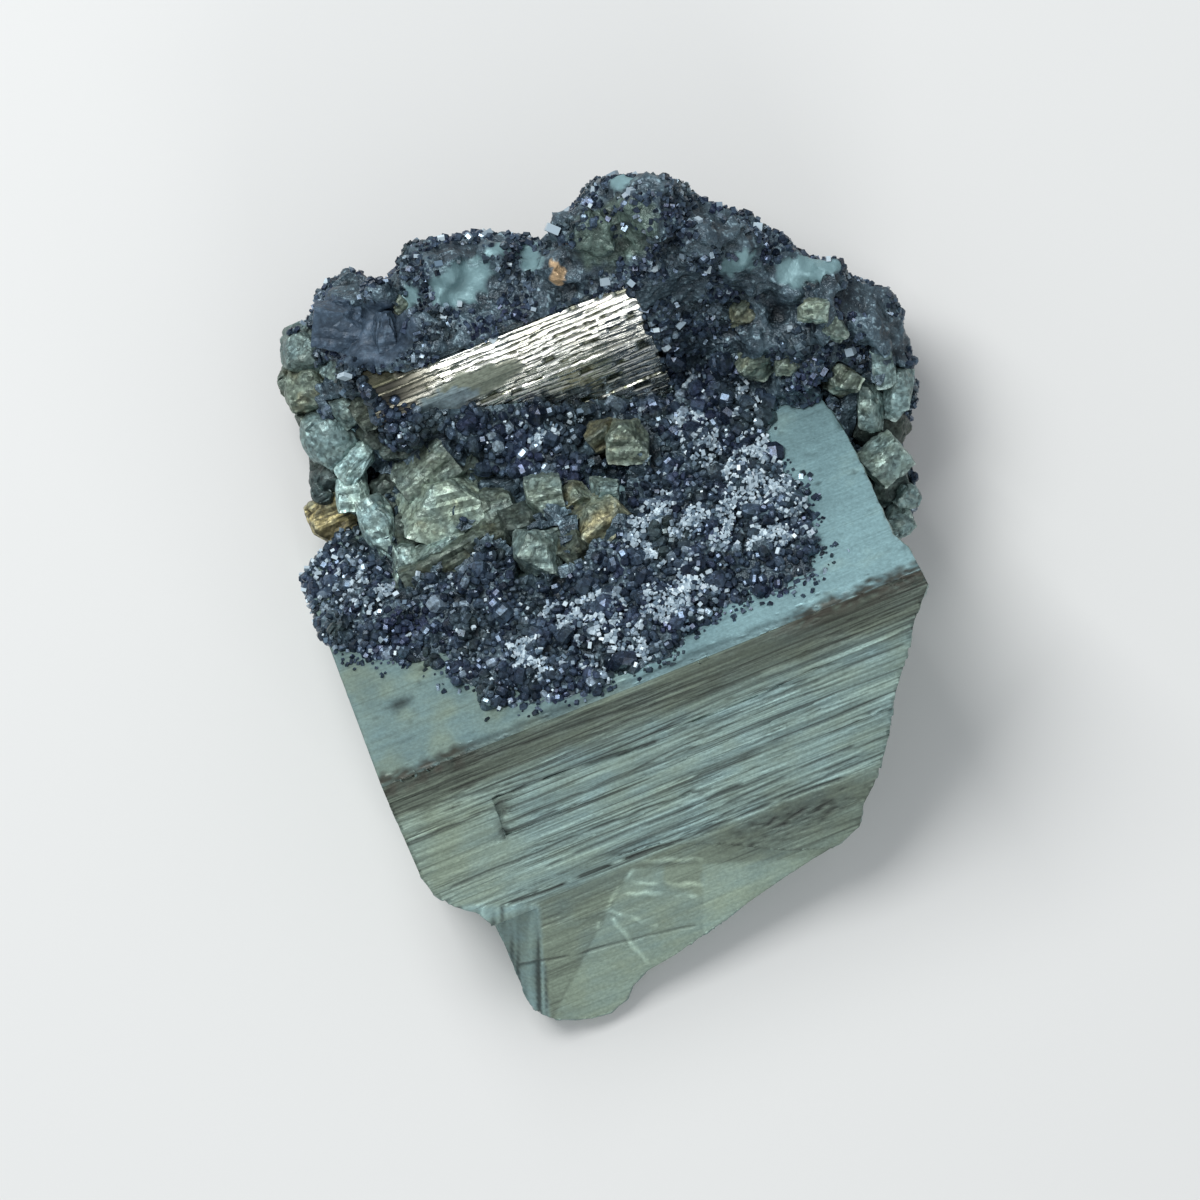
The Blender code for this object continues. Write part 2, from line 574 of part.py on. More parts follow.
def main():
    remove_all_objects()
    pyrite, dull_pyrite, dark = (0.18, 0.25, 0.23), (0.15, 0.2, 0.18), (0.05, 0.08, 0.1)
    # In the order in which they take their room: each is cut clear of those before it.
    looks = [
        (main_cube(), pyrite, 0.35, 0.9),
        (second_cube(), (0.36, 0.38, 0.33), 0.25, 0.95),
        (crystal_group("centre_cluster", CLUSTER, [], 1), dull_pyrite, 0.35, 0.9),
        (crystal_group("left_rim_crystals", LEFT_RIM, LEFT_RIM_PEBBLES, 2), dull_pyrite, 0.35, 0.9),
        (crystal_group("right_rim_crystals", RIGHT_RIM, [], 4), dull_pyrite, 0.35, 0.9),
        (matrix(), dark, 0.5, 0.3),
        (druse(), dark, 0.25, 0.4),
    ]
    rooms = []
    for piece, colour, roughness, metallic in looks:
        room = room_for(piece)
        cut_clear(piece, rooms)
        rooms.append(room)
        finish(piece, colour, roughness, metallic)
    for room in rooms:
        bpy.data.objects.remove(room, do_unlink=True)

    axes = bpy.data.objects.new("crystal_axes", None)
    axes.location = (RIDGE_START[0] * MM, RIDGE_START[1] * MM, 0)
    axes.rotation_euler = (0, 0, RIDGE_TURN)
    bpy.context.scene.collection.objects.link(axes)
    for piece, *_ in looks:
        piece.parent = axes


main()
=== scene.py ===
"""The looks of a pyrite specimen that lies on its back: a big striated crystal, a smaller bright one behind
it, the dark matrix that both grew from, and the crusts and small crystals on them."""

import math
import random

import bmesh
import bpy
import numpy as np
from mathutils import Matrix, Vector, noise
from mathutils.bvhtree import BVHTree


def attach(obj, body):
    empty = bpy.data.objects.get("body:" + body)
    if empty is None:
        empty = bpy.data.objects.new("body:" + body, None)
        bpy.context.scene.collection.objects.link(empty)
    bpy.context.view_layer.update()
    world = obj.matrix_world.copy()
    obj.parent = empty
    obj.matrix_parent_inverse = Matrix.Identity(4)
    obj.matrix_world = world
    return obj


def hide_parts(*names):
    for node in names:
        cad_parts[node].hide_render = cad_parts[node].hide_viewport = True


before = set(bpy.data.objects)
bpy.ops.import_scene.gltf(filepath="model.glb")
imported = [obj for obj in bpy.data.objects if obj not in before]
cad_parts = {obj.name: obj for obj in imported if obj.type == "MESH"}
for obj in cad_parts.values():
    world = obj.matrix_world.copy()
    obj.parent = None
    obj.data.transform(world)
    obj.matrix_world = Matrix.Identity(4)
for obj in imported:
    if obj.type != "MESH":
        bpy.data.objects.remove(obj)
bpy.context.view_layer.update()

# The big crystal.
# A pyrite cube that lies on its edges, so that two faces meet in a level ridge. The face in front is
# striated along the ridge and steps down in ledges to the broken tongue. The one behind is smooth. It is
# solid pyrite, grown from the matrix.
MM = 0.001
RIDGE_TURN = math.radians(22)
RIDGE_START = Vector((-21.13, -18.51, 0.0))  # millimetres
RIDGE_HEIGHT = 34.0
RIDGE_LENGTH = 58
NEAR_RIDGE = 1.7  # how far from the ridge its wear reaches
SLOPE = math.sqrt(0.5)
# From the crystal's axes to the frame. In millimetres: u along the ridge, w across it, away from the tongue,
# and z up.
CRYSTAL_AXES = Matrix.Scale(MM, 4) @ Matrix.Translation(RIDGE_START) @ Matrix.Rotation(RIDGE_TURN, 4, "Z")
FRONT = Vector((0, -SLOPE, SLOPE))  # straight out of the striated face
BACK = Vector((0, SLOPE, SLOPE))  # straight out of the smooth one
# Long grooves of the striated face, darkened with painted shade: u and w of their two ends, and how strong
# they are.
LONG_GROOVES = [
    (11.7, -5.3, 26.6, -6.0, 1.0), (6.7, -15.8, 43.5, -16.7, 1.0), (2.7, -11.9, 28.6, -12.1, 0.8),
    (14.0, -1.4, 36.4, -2.4, 0.7), (29.2, -10.8, 49.7, -10.5, 0.7), (31.0, -14.7, 45.0, -14.0, 0.8),
    (30.0, -15.7, 45.0, -15.2, 0.8), (1.5, -3.2, 9.8, -4.2, 0.6), (1.5, -5.4, 9.5, -6.2, 0.6),
    (5.6, -22.1, 14.1, -23.7, 0.7), (14.1, -23.7, 23.4, -25.2, 0.5), (13.0, -8.2, 30.0, -8.0, 0.6),
    (12.0, -13.6, 33.0, -13.4, 0.7), (36.0, -6.6, 53.0, -6.2, 0.7), (24.0, -3.9, 49.0, -3.6, 0.6),
]
# Pale scratches and crack edges near the tongue: u and w of their two ends.
SCRATCHES = [
    (16.1, -21.5, 17.4, -26.9), (19.8, -17.3, 16.6, -19.4), (16.6, -19.4, 14.3, -21.5),
    (19.2, -18.7, 25.6, -21.6), (18.4, -19.5, 24.8, -22.4), (15.6, -20.0, 19.7, -23.6),
    (20.8, -16.7, 26.6, -19.0),
]
# The rough place where the face is broken down to the next ledge: u and w along it.
NOTCH = [(10.5, -5.4, 10.0, -7.2), (10.0, -7.2, 9.1, -9.4)]
PITTED = (37.0, -18.6, 9.5, 2.2)  # the pitted oval low on the face: u, w, and how far it reaches in each
DARK_SPOT = (4.6, 7.0, 1.6, 0.6)  # a dark oval on the smooth face
# How far apart the skin is cut: along the ridge, finer at some places, down the sides, across each face.
CUT_ALONG, CUT_FINER, CUT_DOWN, CUT_STRIATED, CUT_SMOOTH = 0.75, 0.25, 0.9, 0.12, 0.4
# Where it is cut finer along the ridge: between which w, and from which u to which.
FINE_PLACES = [
    (-99, -15, 1.5, 28.5),
    (-NEAR_RIDGE, NEAR_RIDGE, 0.0, 13.0),
    (-NEAR_RIDGE, NEAR_RIDGE, 40.0, RIDGE_LENGTH),
]


def in_crystal_axes(mesh):
    """A bmesh copy of a mesh of the frame, in the crystal's axes."""
    bm = bmesh.new()
    bm.from_mesh(mesh)
    bm.transform(CRYSTAL_AXES.inverted())
    return bm


def merged_copy(node):
    """A closed copy of a CAD node's mesh, with its flat faces whole, in the crystal's axes."""
    bm = in_crystal_axes(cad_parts[node].data)
    bmesh.ops.remove_doubles(bm, verts=bm.verts[:], dist=0.0005)
    bmesh.ops.dissolve_limit(bm, angle_limit=0.002, verts=bm.verts[:], edges=bm.edges[:])
    return bm


def slice_faces(bm, faces, axis, stops):
    """Cuts the faces with planes square to the axis, by halves, so that each meets only planes near it."""
    if not stops or not faces:
        return
    middle = len(stops) // 2
    normal = Vector([float(index == axis) for index in range(3)])
    edges = {edge for face in faces for edge in face.edges}
    verts = {vert for face in faces for vert in face.verts}
    made = bmesh.ops.bisect_plane(
        bm, geom=[*faces, *edges, *verts], plane_co=normal * stops[middle], plane_no=normal, dist=1e-4
    )
    below, above = [], []
    for element in made["geom"]:
        if isinstance(element, bmesh.types.BMFace):
            (below if element.calc_center_median()[axis] < stops[middle] else above).append(element)
    slice_faces(bm, below, axis, stops[:middle])
    slice_faces(bm, above, axis, stops[middle + 1 :])


def stops_between(low, high, spacing):
    return [float(stop) for stop in np.arange(low + spacing / 2, high, spacing)]


def wavy(u, v, seed):
    """Smooth noise from about -1 to 1, a sheet of its own for each seed."""
    return noise.noise(Vector((u, v, seed * 7.31)))


def ramp(value, low, high):
    """0 up to low, 1 from high on, and even in between."""
    return min(max((value - low) / (high - low), 0.0), 1.0)


def snapped(value, levels):
    """A value pulled to evenly spaced levels, with short steep rises between them."""
    scaled = value * levels
    base = math.floor(scaled)
    return (base + ramp(scaled - base, 0.35, 0.65)) / levels


def line(value, width):
    """1 where a noise value crosses zero, falling to 0 on both sides: lines that fork and end."""
    return max(0.0, 1.0 - abs(value) / width)


def near_line(u, w, ends, width):
    """1 on the line between the ends, falling to 0 at the width."""
    start_u, start_w, end_u, end_w = ends[:4]
    along_u, along_w = end_u - start_u, end_w - start_w
    share = ((u - start_u) * along_u + (w - start_w) * along_w) / (along_u**2 + along_w**2)
    share = min(max(share, 0.0), 1.0)
    return max(0.0, 1.0 - math.hypot(u - start_u - share * along_u, w - start_w - share * along_w) / width)


def blob(u, w, zone):
    """How far a place lies inside an oval zone: 1 in its middle, 0 outside it."""
    middle_u, middle_w, reach_u, reach_w = zone
    away = ((u - middle_u) / reach_u) ** 2 + ((w - middle_w) / reach_w) ** 2
    return max(0.0, 1.0 - away) ** 0.7


def page(u, w):
    """The place in the frame, in millimetres: x to the right of the photograph, y up it."""
    place = CRYSTAL_AXES @ Vector((u, w, 0))
    return place.x / MM, place.y / MM


def add_row(columns, values):
    """Adds one vertex's numbers to the columns, in their order."""
    for column, value in zip(columns.values(), values):
        column.append(value)


def plain_piece(bm, name, material, columns, sharp=35):
    """Turns the bmesh into a finished object in the frame, at the origin, unturned and unscaled. Each column
    of numbers, one a vertex, is stored for the finish. Edges over the sharp angle aren't smoothed."""
    bmesh.ops.triangulate(bm, faces=bm.faces[:])
    bm.transform(CRYSTAL_AXES)
    mesh = bpy.data.meshes.new(name)
    bm.to_mesh(mesh)
    bm.free()
    mesh.shade_smooth()
    mesh.set_sharp_from_angle(angle=math.radians(sharp))
    mesh.materials.append(material)
    for column, values in columns.items():
        attribute = mesh.attributes.new(column, "FLOAT", "POINT")
        attribute.data.foreach_set("value", np.array(values, np.float32))
    piece = bpy.data.objects.new(name, mesh)
    bpy.context.scene.collection.objects.link(piece)
    return piece


def set_inputs(tree, node, inputs):
    """Links each input to the socket given for it, or sets it to the value."""
    for socket, value in inputs.items():
        if isinstance(value, bpy.types.NodeSocket):
            tree.links.new(value, node.inputs[socket])
        else:
            node.inputs[socket].default_value = value


def add_node(tree, kind, inputs=(), **settings):
    node = tree.nodes.new(kind)
    for key, value in settings.items():
        setattr(node, key, value)
    set_inputs(tree, node, dict(inputs))
    return node


def result_of(tree, kind, inputs=(), **settings):
    """The first output of a new node."""
    return add_node(tree, kind, inputs, **settings).outputs[0]


def maths(tree, operation, *values):
    return result_of(tree, "ShaderNodeMath", dict(enumerate(values)), operation=operation)


def times(tree, first, *others):
    """All the values multiplied."""
    for other in others:
        first = maths(tree, "MULTIPLY", first, other)
    return first


def plus(tree, first, *others):
    """All the values added."""
    for other in others:
        first = maths(tree, "ADD", first, other)
    return first


def blended(tree, share, first, second, blend_type="MIX"):
    """A Mix node's colour."""
    inputs = {0: share, 6: first, 7: second}
    return add_node(tree, "ShaderNodeMix", inputs, data_type="RGBA", blend_type=blend_type).outputs[2]


def lit(tree, colour, light):
    """A colour made lighter or darker."""
    return blended(tree, 1.0, colour, light, "MULTIPLY")


def spread(tree, value, low, high, to_low=0.0, to_high=1.0):
    """Map Range: where the value runs from low to high, the result runs from to_low to to_high."""
    return result_of(tree, "ShaderNodeMapRange", {0: value, 1: low, 2: high, 3: to_low, 4: to_high})


def between(tree, share, at_none, at_full):
    """A share from 0 to 1 turned into a number between the two given."""
    return spread(tree, share, 0, 1, at_none, at_full)


def mesh_value(tree, name):
    """One of the columns that plain_piece stored, or the shade of a scattered crystal."""
    return add_node(tree, "ShaderNodeAttribute", attribute_name=name).outputs["Fac"]


def new_group(name, inputs, outputs):
    """An empty shader node group, its input node and its output node."""
    group = bpy.data.node_groups.new(name, "ShaderNodeTree")
    for label, value in inputs:
        socket = group.interface.new_socket(label, in_out="INPUT", socket_type="NodeSocketFloat")
        socket.default_value = value
    for label in outputs:
        group.interface.new_socket(label, in_out="OUTPUT", socket_type="NodeSocketFloat")
    return group, group.nodes.new("NodeGroupInput"), group.nodes.new("NodeGroupOutput")


def mottle_group():
    """Uneven patches and fine grain over a surface, from noise in the object's own space. Sizes are in
    millimetres, here and in the other groups."""
    sizes = [("Patch size", 6.0), ("Grain size", 0.4)]
    group, given, result = new_group("mottle", sizes, ["Patches", "Grain"])
    place = add_node(group, "ShaderNodeTexCoord").outputs["Object"]
    for label, source, detail in (("Patches", "Patch size", 4.0), ("Grain", "Grain size", 3.0)):
        scale = maths(group, "DIVIDE", 1 / MM, given.outputs[source])
        cloud = add_node(group, "ShaderNodeTexNoise", {"Vector": place, "Scale": scale, "Detail": detail})
        group.links.new(spread(group, cloud.outputs["Fac"], 0.3, 0.7), result.inputs[label])
    return group


MOTTLE = mottle_group()


def striae_group():
    """Fine parallel lines along the ridge: noise drawn out in one direction."""
    group, given, result = new_group("striae", [("Length", 14.0), ("Spacing", 0.25)], ["Lines"])
    place = add_node(group, "ShaderNodeTexCoord").outputs["Object"]
    turned = result_of(group, "ShaderNodeMapping", {"Vector": place, "Rotation": (0, 0, -RIDGE_TURN)})
    apart = add_node(group, "ShaderNodeSeparateXYZ", {0: turned}).outputs
    spacing = times(group, given.outputs["Spacing"], MM)
    shares = {
        0: maths(group, "DIVIDE", apart["X"], times(group, given.outputs["Length"], MM)),
        1: maths(group, "DIVIDE", apart["Y"], spacing),
        2: maths(group, "DIVIDE", apart["Z"], spacing),
    }
    drawn = result_of(group, "ShaderNodeCombineXYZ", shares)
    cloud = add_node(group, "ShaderNodeTexNoise", {"Vector": drawn, "Scale": 1.0, "Detail": 2.0})
    group.links.new(spread(group, cloud.outputs["Fac"], 0.3, 0.7), result.inputs["Lines"])
    return group


STRIAE = striae_group()


def facets_group():
    """Crystal grains in a surface: each grain has a number of its own."""
    group, given, result = new_group("facets", [("Size", 0.5)], ["Grains"])
    place = add_node(group, "ShaderNodeTexCoord").outputs["Object"]
    scale = maths(group, "DIVIDE", 1 / MM, given.outputs["Size"])
    cells = add_node(group, "ShaderNodeTexVoronoi", {"Vector": place, "Scale": scale})
    own = maths(group, "FRACT", times(group, cells.outputs["Color"], 7.0))
    group.links.new(own, result.inputs["Grains"])
    return group


FACETS = facets_group()


def placed_group(tree, group, *sizes):
    """The outputs of a node group placed in a material with its own sizes."""
    return add_node(tree, "ShaderNodeGroup", dict(enumerate(sizes)), node_tree=group).outputs


def new_finish(name):
    material = bpy.data.materials.new(name)
    material.use_nodes = True
    return material, material.node_tree


def dress(tree, colour, metal, rough, height, strength, depth):
    """Feeds a finish's Principled BSDF. The height makes a bump, as deep as given in millimetres."""
    bump = {"Height": height, "Strength": strength, "Distance": depth * MM}
    inputs = {"Base Color": colour, "Metallic": metal, "Roughness": rough}
    inputs["Normal"] = result_of(tree, "ShaderNodeBump", bump)
    set_inputs(tree, tree.nodes["Principled BSDF"], inputs)


def striated_pyrite():
    """Tarnished pyrite: cool where smooth, warmer where rough, brown where chipped. Painted shade darkens its
    furrows, cut lines and grooves, and a painted highlight lightens its crests.
    """
    cool, warm, brown = (0.235, 0.375, 0.395, 1), (0.31, 0.395, 0.305, 1), (0.042, 0.040, 0.030, 1)
    material, tree = new_finish("striated_pyrite")
    patches, grain = placed_group(tree, MOTTLE, 4.0, 0.35)
    striae = placed_group(tree, STRIAE, 12.0, 0.28)["Lines"]
    streaks = placed_group(tree, STRIAE, 20.0, 1.3)["Lines"]
    cuts = placed_group(tree, STRIAE, 26.0, 0.5)["Lines"]
    mottled, streaked = between(tree, patches, -0.2, 0.2), between(tree, streaks, -0.1, 0.1)
    warmth = plus(tree, mesh_value(tree, "warmth"), mottled, streaked)
    lined = mesh_value(tree, "lined")
    # Painted shade darkens the fine striae's furrows and the cut lines, which the bump also sinks. A painted
    # highlight lightens the crests between them.
    fine = times(tree, lined, between(tree, striae, -0.36, 0.14))
    broad = times(tree, lined, between(tree, streaks, -0.14, 0.16))
    cut = times(tree, lined, spread(tree, cuts, 0.72, 0.86))
    painted_crest_highlight = times(tree, lined, spread(tree, cuts, 0.2, 0.1))
    # It also takes the lightness value, in which the smooth face is painted lighter, and the groove value,
    # which darkens grooves, pits and the notch as painted shade.
    light = times(
        tree, between(tree, grain, 0.86, 1.14), plus(tree, fine, broad, 1.0), between(tree, cut, 1.0, 0.42),
        between(tree, painted_crest_highlight, 1.0, 1.22), mesh_value(tree, "lightness"),
        between(tree, mesh_value(tree, "groove"), 1.0, 0.18),
    )
    colour = lit(tree, blended(tree, spread(tree, warmth, 0, 1), cool, warm), light)
    colour = blended(tree, mesh_value(tree, "rust"), colour, brown)
    height = maths(tree, "SUBTRACT", plus(tree, grain, times(tree, lined, striae)), cut)
    dress(tree, colour, 0.55, between(tree, patches, 0.38, 0.52), height, 0.3, 0.05)
    return material


def patch_share(u, w):
    """How far a place lies in the pale broken facet beside the tongue."""
    above = ramp(-17.0 - 0.34 * (u - 20.0) - w, 0.0, 0.5)
    return above * ramp(u - 16.6 - 1.15 * (w + 19.4), 0.0, 0.6)


def strip_share(u, w):
    """How far a place lies in the streaked strip down the tongue's left side."""
    x, y = page(u, w)
    return ramp(-5.6 + 0.09 * (-31.0 - y) - x, -0.1, 0.3) * ramp(-30.3 - y, 0.0, 0.6)


def front_relief(u, w):
    """The striated face at one place: height over its plane, how deep in a groove (darkened as painted
    shade), warmth, lightness, rust, and how strongly lined."""
    down = -w / SLOPE
    patch, strip = patch_share(u, w), strip_share(u, w)
    x, y = page(u, w)
    tongue = ramp(-w, 16.4, 17.0) * (1 - patch)
    lined = (1 - 0.8 * patch) * (1 - 0.5 * tongue) * (1 - strip)
    if u < 9.5 and -15 < w < -6.5:
        lined *= 0.55
    height = lined * (
        0.10 * wavy(u / 34, down / 2.4, 1)
        + 0.10 * snapped(wavy(u / 24, down / 0.95, 2), 3)
        + 0.04 * snapped(wavy(u / 15, down / 0.4, 3), 3)
    )
    groove = max(
        0.9 * line(wavy(u / 30, down / 1.5, 4), 0.07),
        0.85 * line(wavy(u / 18, down / 0.75, 5), 0.08),
        0.6 * line(wavy(u / 9, down / 0.42, 9), 0.10),
    )
    groove *= ramp(wavy(u / 12, down / 2.6, 6), -0.45, 0.15) * lined
    wobble = 0.25 * wavy(u / 6, 0, 41)
    for ends in LONG_GROOVES:
        shown = ends[4] * ramp(wavy(u / 2.5, w, 42), -0.5, -0.1)
        groove = max(groove, shown * min(1.0, 1.5 * near_line(u, w + wobble, ends, 0.24)))
    broken = max(near_line(u + 0.5 * wavy(u, w / 0.9, 43), w, ends, 0.5) for ends in NOTCH)
    pitted = blob(u, w, PITTED) * (1 - patch)
    pits = pitted * ramp(wavy(u / 0.6, down / 0.5, 44), 0.05, 0.45)
    bent_u, bent_w = u + 0.3 * wavy(w / 1.5, u / 1.5, 45), w + 0.3 * wavy(u / 1.5, w / 1.5, 55)
    scratch = max(near_line(bent_u, bent_w, ends, 0.32) for ends in SCRATCHES)
    scratch = min(1.0, 1.3 * scratch) * ramp(wavy(u / 1.2, w / 1.2, 56), -0.6, 0.1)
    # The groove value darkens the grooves, the notch and the pits in the finish: painted shade in these
    # hollows.
    groove = max(groove, broken, pits)
    height += -0.14 * groove - 0.2 * broken + 0.07 * scratch - 0.12 * patch

    warmth = 0.47 + 0.4 * ramp(12.0 - u, 0.0, 8.0) + 0.4 * tongue + 0.3 * patch
    lightness = 0.92 + 0.12 * wavy(u / 20, down / 3.0, 46)
    lightness -= 0.11 * patch + 0.32 * tongue
    band = ramp(w, -4.4 - 0.04 * (u - 20.0), -2.8)
    lightness -= band * (0.52 + 0.07 * ramp(u, 18.0, 44.0))
    warmth += 0.4 * band
    facet = patch * ramp(x, 6.6, 7.2) * ramp(10.9 + 0.3 * wavy(x, y, 68) - x, 0.0, 0.5)
    facet *= ramp(y + 0.2 * x, -28.0, -27.0)
    warmth += 0.4 * facet
    lightness -= 0.10 * facet
    pale_side = patch * ramp(x, 10.7, 10.9) * ramp(16.0 - x, 0.0, 1.5)
    lightness += 0.14 * pale_side + 0.5 * scratch - 0.20 * pitted
    if strip:
        streaks = wavy(x / 0.5, y / 7.0, 47)
        warmth += strip * (0.45 - warmth)
        lightness += strip * (0.5 * streaks + 0.12)
        height += strip * 0.14 * streaks
        groove = max(groove, 0.7 * strip * ramp(streaks, -0.2, -0.45))
    near_ridge = ramp(w, -1.9, -0.3)
    rust = near_ridge * ramp(u, 40.0, 45.0) * ramp(wavy(u / 0.9, w / 0.4, 48), -0.6, 0.0)
    rust = max(rust, 0.12 * band * ramp(u, 26.0, 46.0))
    chipped = near_ridge * ramp(11.0 - u, 0.0, 3.0) * ramp(wavy(u / 1.2, w / 0.8, 49), -0.1, 0.3)
    return height, groove, warmth, lightness, max(rust, 0.8 * chipped), lined


def back_relief(u, w):
    """The smooth face behind the ridge at one place, as front_relief gives it."""
    down = w / SLOPE
    pits = ramp(wavy(u / 0.5, down / 0.5, 7), 0.42, 0.6)
    height = 0.03 * wavy(u / 2.2, down / 9, 8) - 0.12 * pits
    edge = ramp(w + 0.8 * wavy(u / 1.1, 0, 54), 1.3, 0.5)
    chipped = ramp(u, 42.0, 45.0) + ramp(11.0 - u, 0.0, 3.0)
    rust = edge * min(chipped, 1.0) * ramp(wavy(u / 0.9, w / 0.4, 48), -0.5, 0.1)
    left = ramp(30.0 - u, 0.0, 10.0)
    warmth = -0.05 + 0.35 * left + 0.4 * left * ramp(wavy(u / 3.0, w / 3.0, 52), 0.0, 0.3)
    # Painted light: the smooth face's colour is made lighter than the striated face's, to make up for the
    # dark matrix it reflects, and a strip along the ridge is darkened as a painted shadow.
    lightness = 1.17 - 0.38 * left + 0.14 * wavy(u / 5.0, w / 5.0, 50)
    lightness *= 1 - 0.5 * ramp(1.1 + 0.5 * wavy(u / 1.5, 0, 53) - w, 0.0, 0.5)
    # The groove value darkens its pits as painted shade, and the dark oval.
    return height, max(0.7 * pits, blob(u, w, DARK_SPOT)), warmth, lightness, 0.9 * rust, 0.25


def side_relief(w, z, is_left):
    """A side at one place, as front_relief gives it: striated on the left, broken on the right."""
    place = Vector((0, w, z))
    if not is_left:
        # On the broken side the lightness follows the height, and the dips count as groove: painted shade in
        # the dips, painted highlight on the bumps.
        height = 0.35 * noise.fractal(place / 3.1, 0.8, 2.2, 4) + 0.12 * noise.noise(place / 0.8)
        return height, 0.3 * ramp(height, -0.05, -0.25), 0.45, 0.72 + 0.25 * height, 0.0, 0.3
    # On the striated side the lightness follows the striae's height, and the grooves are darkened: painted
    # highlight and painted shade.
    lines = snapped(wavy(w / 1.1, z / 14, 57), 3)
    groove = 0.8 * line(wavy(w / 1.3, z / 16, 58), 0.07) * ramp(wavy(w / 4, z / 7, 59), -0.3, 0.2)
    height = 0.16 * lines + 0.14 * wavy(w / 4, z / 9, 60) - 0.14 * groove
    return height, groove, 0.4, 0.74 + 0.08 * lines, 0.0, 0.1


def ridge_wear(u, w):
    """How much lower than a sharp edge the ridge lies: worn a little all along, chipped at both ends."""
    chipped = ramp(u, 43.0, 46.0) + 0.7 * ramp(11.0 - u, 0.0, 3.0)
    chips = ramp(noise.noise(Vector((u / 1.6, w / 0.6, 3.7))), -0.4, 0.4)
    near = ramp(NEAR_RIDGE - abs(w), 0.0, 1.2)
    rounded = 0.16 * ramp(0.5 - abs(w), 0.0, 0.5)
    return rounded + near * (0.05 + 0.2 * min(chipped, 1.0) * chips + 0.03 * wavy(u / 0.8, w / 0.5, 51))


def upper_faces(bm):
    """All the faces but the base."""
    return [face for face in bm.faces if face.normal.z > -0.95]


def main_cube():
    bm = merged_copy("main_cube")
    slice_faces(bm, upper_faces(bm), 1, [-15.0, -NEAR_RIDGE, NEAR_RIDGE])
    slice_faces(bm, upper_faces(bm), 0, stops_between(0, RIDGE_LENGTH, CUT_ALONG))
    sides = [face for face in bm.faces if abs(face.normal.z) < 0.5]
    slice_faces(bm, sides, 2, stops_between(0, RIDGE_HEIGHT, CUT_DOWN))
    for low, high, first, last in FINE_PLACES:
        tops = [face for face in bm.faces if face.normal.z > 0.3]
        fine = [face for face in tops if low < face.calc_center_median().y < high]
        slice_faces(bm, fine, 0, stops_between(first, last, CUT_FINER))
    across = stops_between(-31, 2, CUT_STRIATED) + stops_between(2, 33, CUT_SMOOTH)
    slice_faces(bm, upper_faces(bm), 1, across)
    bm.normal_update()
    columns = {name: [] for name in ("groove", "warmth", "lightness", "rust", "lined")}
    places = []
    for vert in bm.verts:
        u, w, z = vert.co
        place = vert.co.copy()
        values = (0.0, 0.45, 0.72, 0.0, 0.5)
        facing = [face.normal for face in vert.link_faces]
        on_front = any(normal.dot(FRONT) > 0.9 for normal in facing) and w < 0.05
        on_front = on_front or (w < -14.5 and vert.normal.z > 0.4 and u < 14)
        on_back = any(normal.dot(BACK) > 0.9 for normal in facing) and w > -0.05
        if abs(w) < NEAR_RIDGE and z > RIDGE_HEIGHT - abs(w) - 1.6 and vert.normal.z > 0.2:
            place.z = RIDGE_HEIGHT - abs(w) - ridge_wear(u, w)
            on_front, on_back = w < 0, w >= 0
        if on_front:
            height, *values = front_relief(u, w)
            place += FRONT * height
        elif on_back:
            height, *values = back_relief(u, w)
            place += BACK * height
        elif z > 0.05:
            height, *values = side_relief(w, z, vert.normal.x < -0.9)
            place += vert.normal * height
            place.z = max(place.z, 0.0)
        places.append(place)
        add_row(columns, values)
    for vert, place in zip(bm.verts, places):
        vert.co = place
    return plain_piece(bm, "main_crystal", striated_pyrite(), columns)


main_crystal = main_cube()
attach(main_crystal, "root")
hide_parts("main_cube")

# The second crystal.
# A smaller pyrite crystal parallel to the big one, behind it and held in the matrix. Only its front face
# shows: brassy and bright, built of long narrow steps that end one over another like courses of thin bricks.
BRIGHT_COURSE = 0.74  # width of a course on the slope
BRIGHT_TREAD = 0.66  # share of it that is the bright tread
SMOOTH_BAND = (23.2, 33.9, 5.6, 1.5)  # a smooth grey-green place on the face
BLUE_BLOOM = (19.6, 33.2, 3.6, 1.5)  # a dull light-blue one below it
BRIGHT_ENDS = (12, 43)  # from which u to which the crystal runs
BRIGHT_CUTS = (0.3, 0.055)  # how far apart its skin is cut, along it and across its face


def bright_pyrite():
    """Bright brassy metal, brown at its left end, with painted shade in the seams between its steps."""
    silver, brassy, olive = (0.93, 0.93, 0.86, 1), (0.66, 0.60, 0.36, 1), (0.10, 0.11, 0.06, 1)
    brown, blue, green = (0.050, 0.047, 0.035, 1), (0.36, 0.50, 0.54, 1), (0.40, 0.46, 0.38, 1)
    material, tree = new_finish("bright_pyrite")
    striae = placed_group(tree, STRIAE, 2.2, 0.2)["Lines"]
    grain = placed_group(tree, MOTTLE, 2.5, 0.4)["Grain"]
    warmth, rust, dull = [mesh_value(tree, name) for name in ("warmth", "rust", "bloom")]
    # Painted shade: the seams between the steps, with fine striae added, are mixed towards olive.
    seams = plus(tree, mesh_value(tree, "groove"), spread(tree, striae, 0.6, 1.0, 0.0, 0.3))
    colour = blended(tree, warmth, silver, brassy)
    colour = blended(tree, maths(tree, "MINIMUM", seams, 1.0), colour, olive)
    light = times(tree, mesh_value(tree, "lightness"), between(tree, grain, 0.8, 1.1))
    colour = blended(tree, rust, lit(tree, colour, light), brown)
    bloom = lit(tree, blended(tree, warmth, blue, green), between(tree, grain, 0.7, 1.2))
    matt = maths(tree, "MAXIMUM", dull, rust)
    rough = plus(tree, between(tree, grain, 0.14, 0.30), between(tree, matt, 0, 0.3))
    metal = between(tree, matt, 1.0, 0.3)
    dress(tree, blended(tree, dull, colour, bloom), metal, rough, striae, 0.35, 0.04)
    return material


def chance_at(first, second):
    """A number from 0 to 1 that looks random but depends only on the two given."""
    value = math.sin(first * 12.9898 + second * 78.233) * 43758.5453
    return value - math.floor(value)


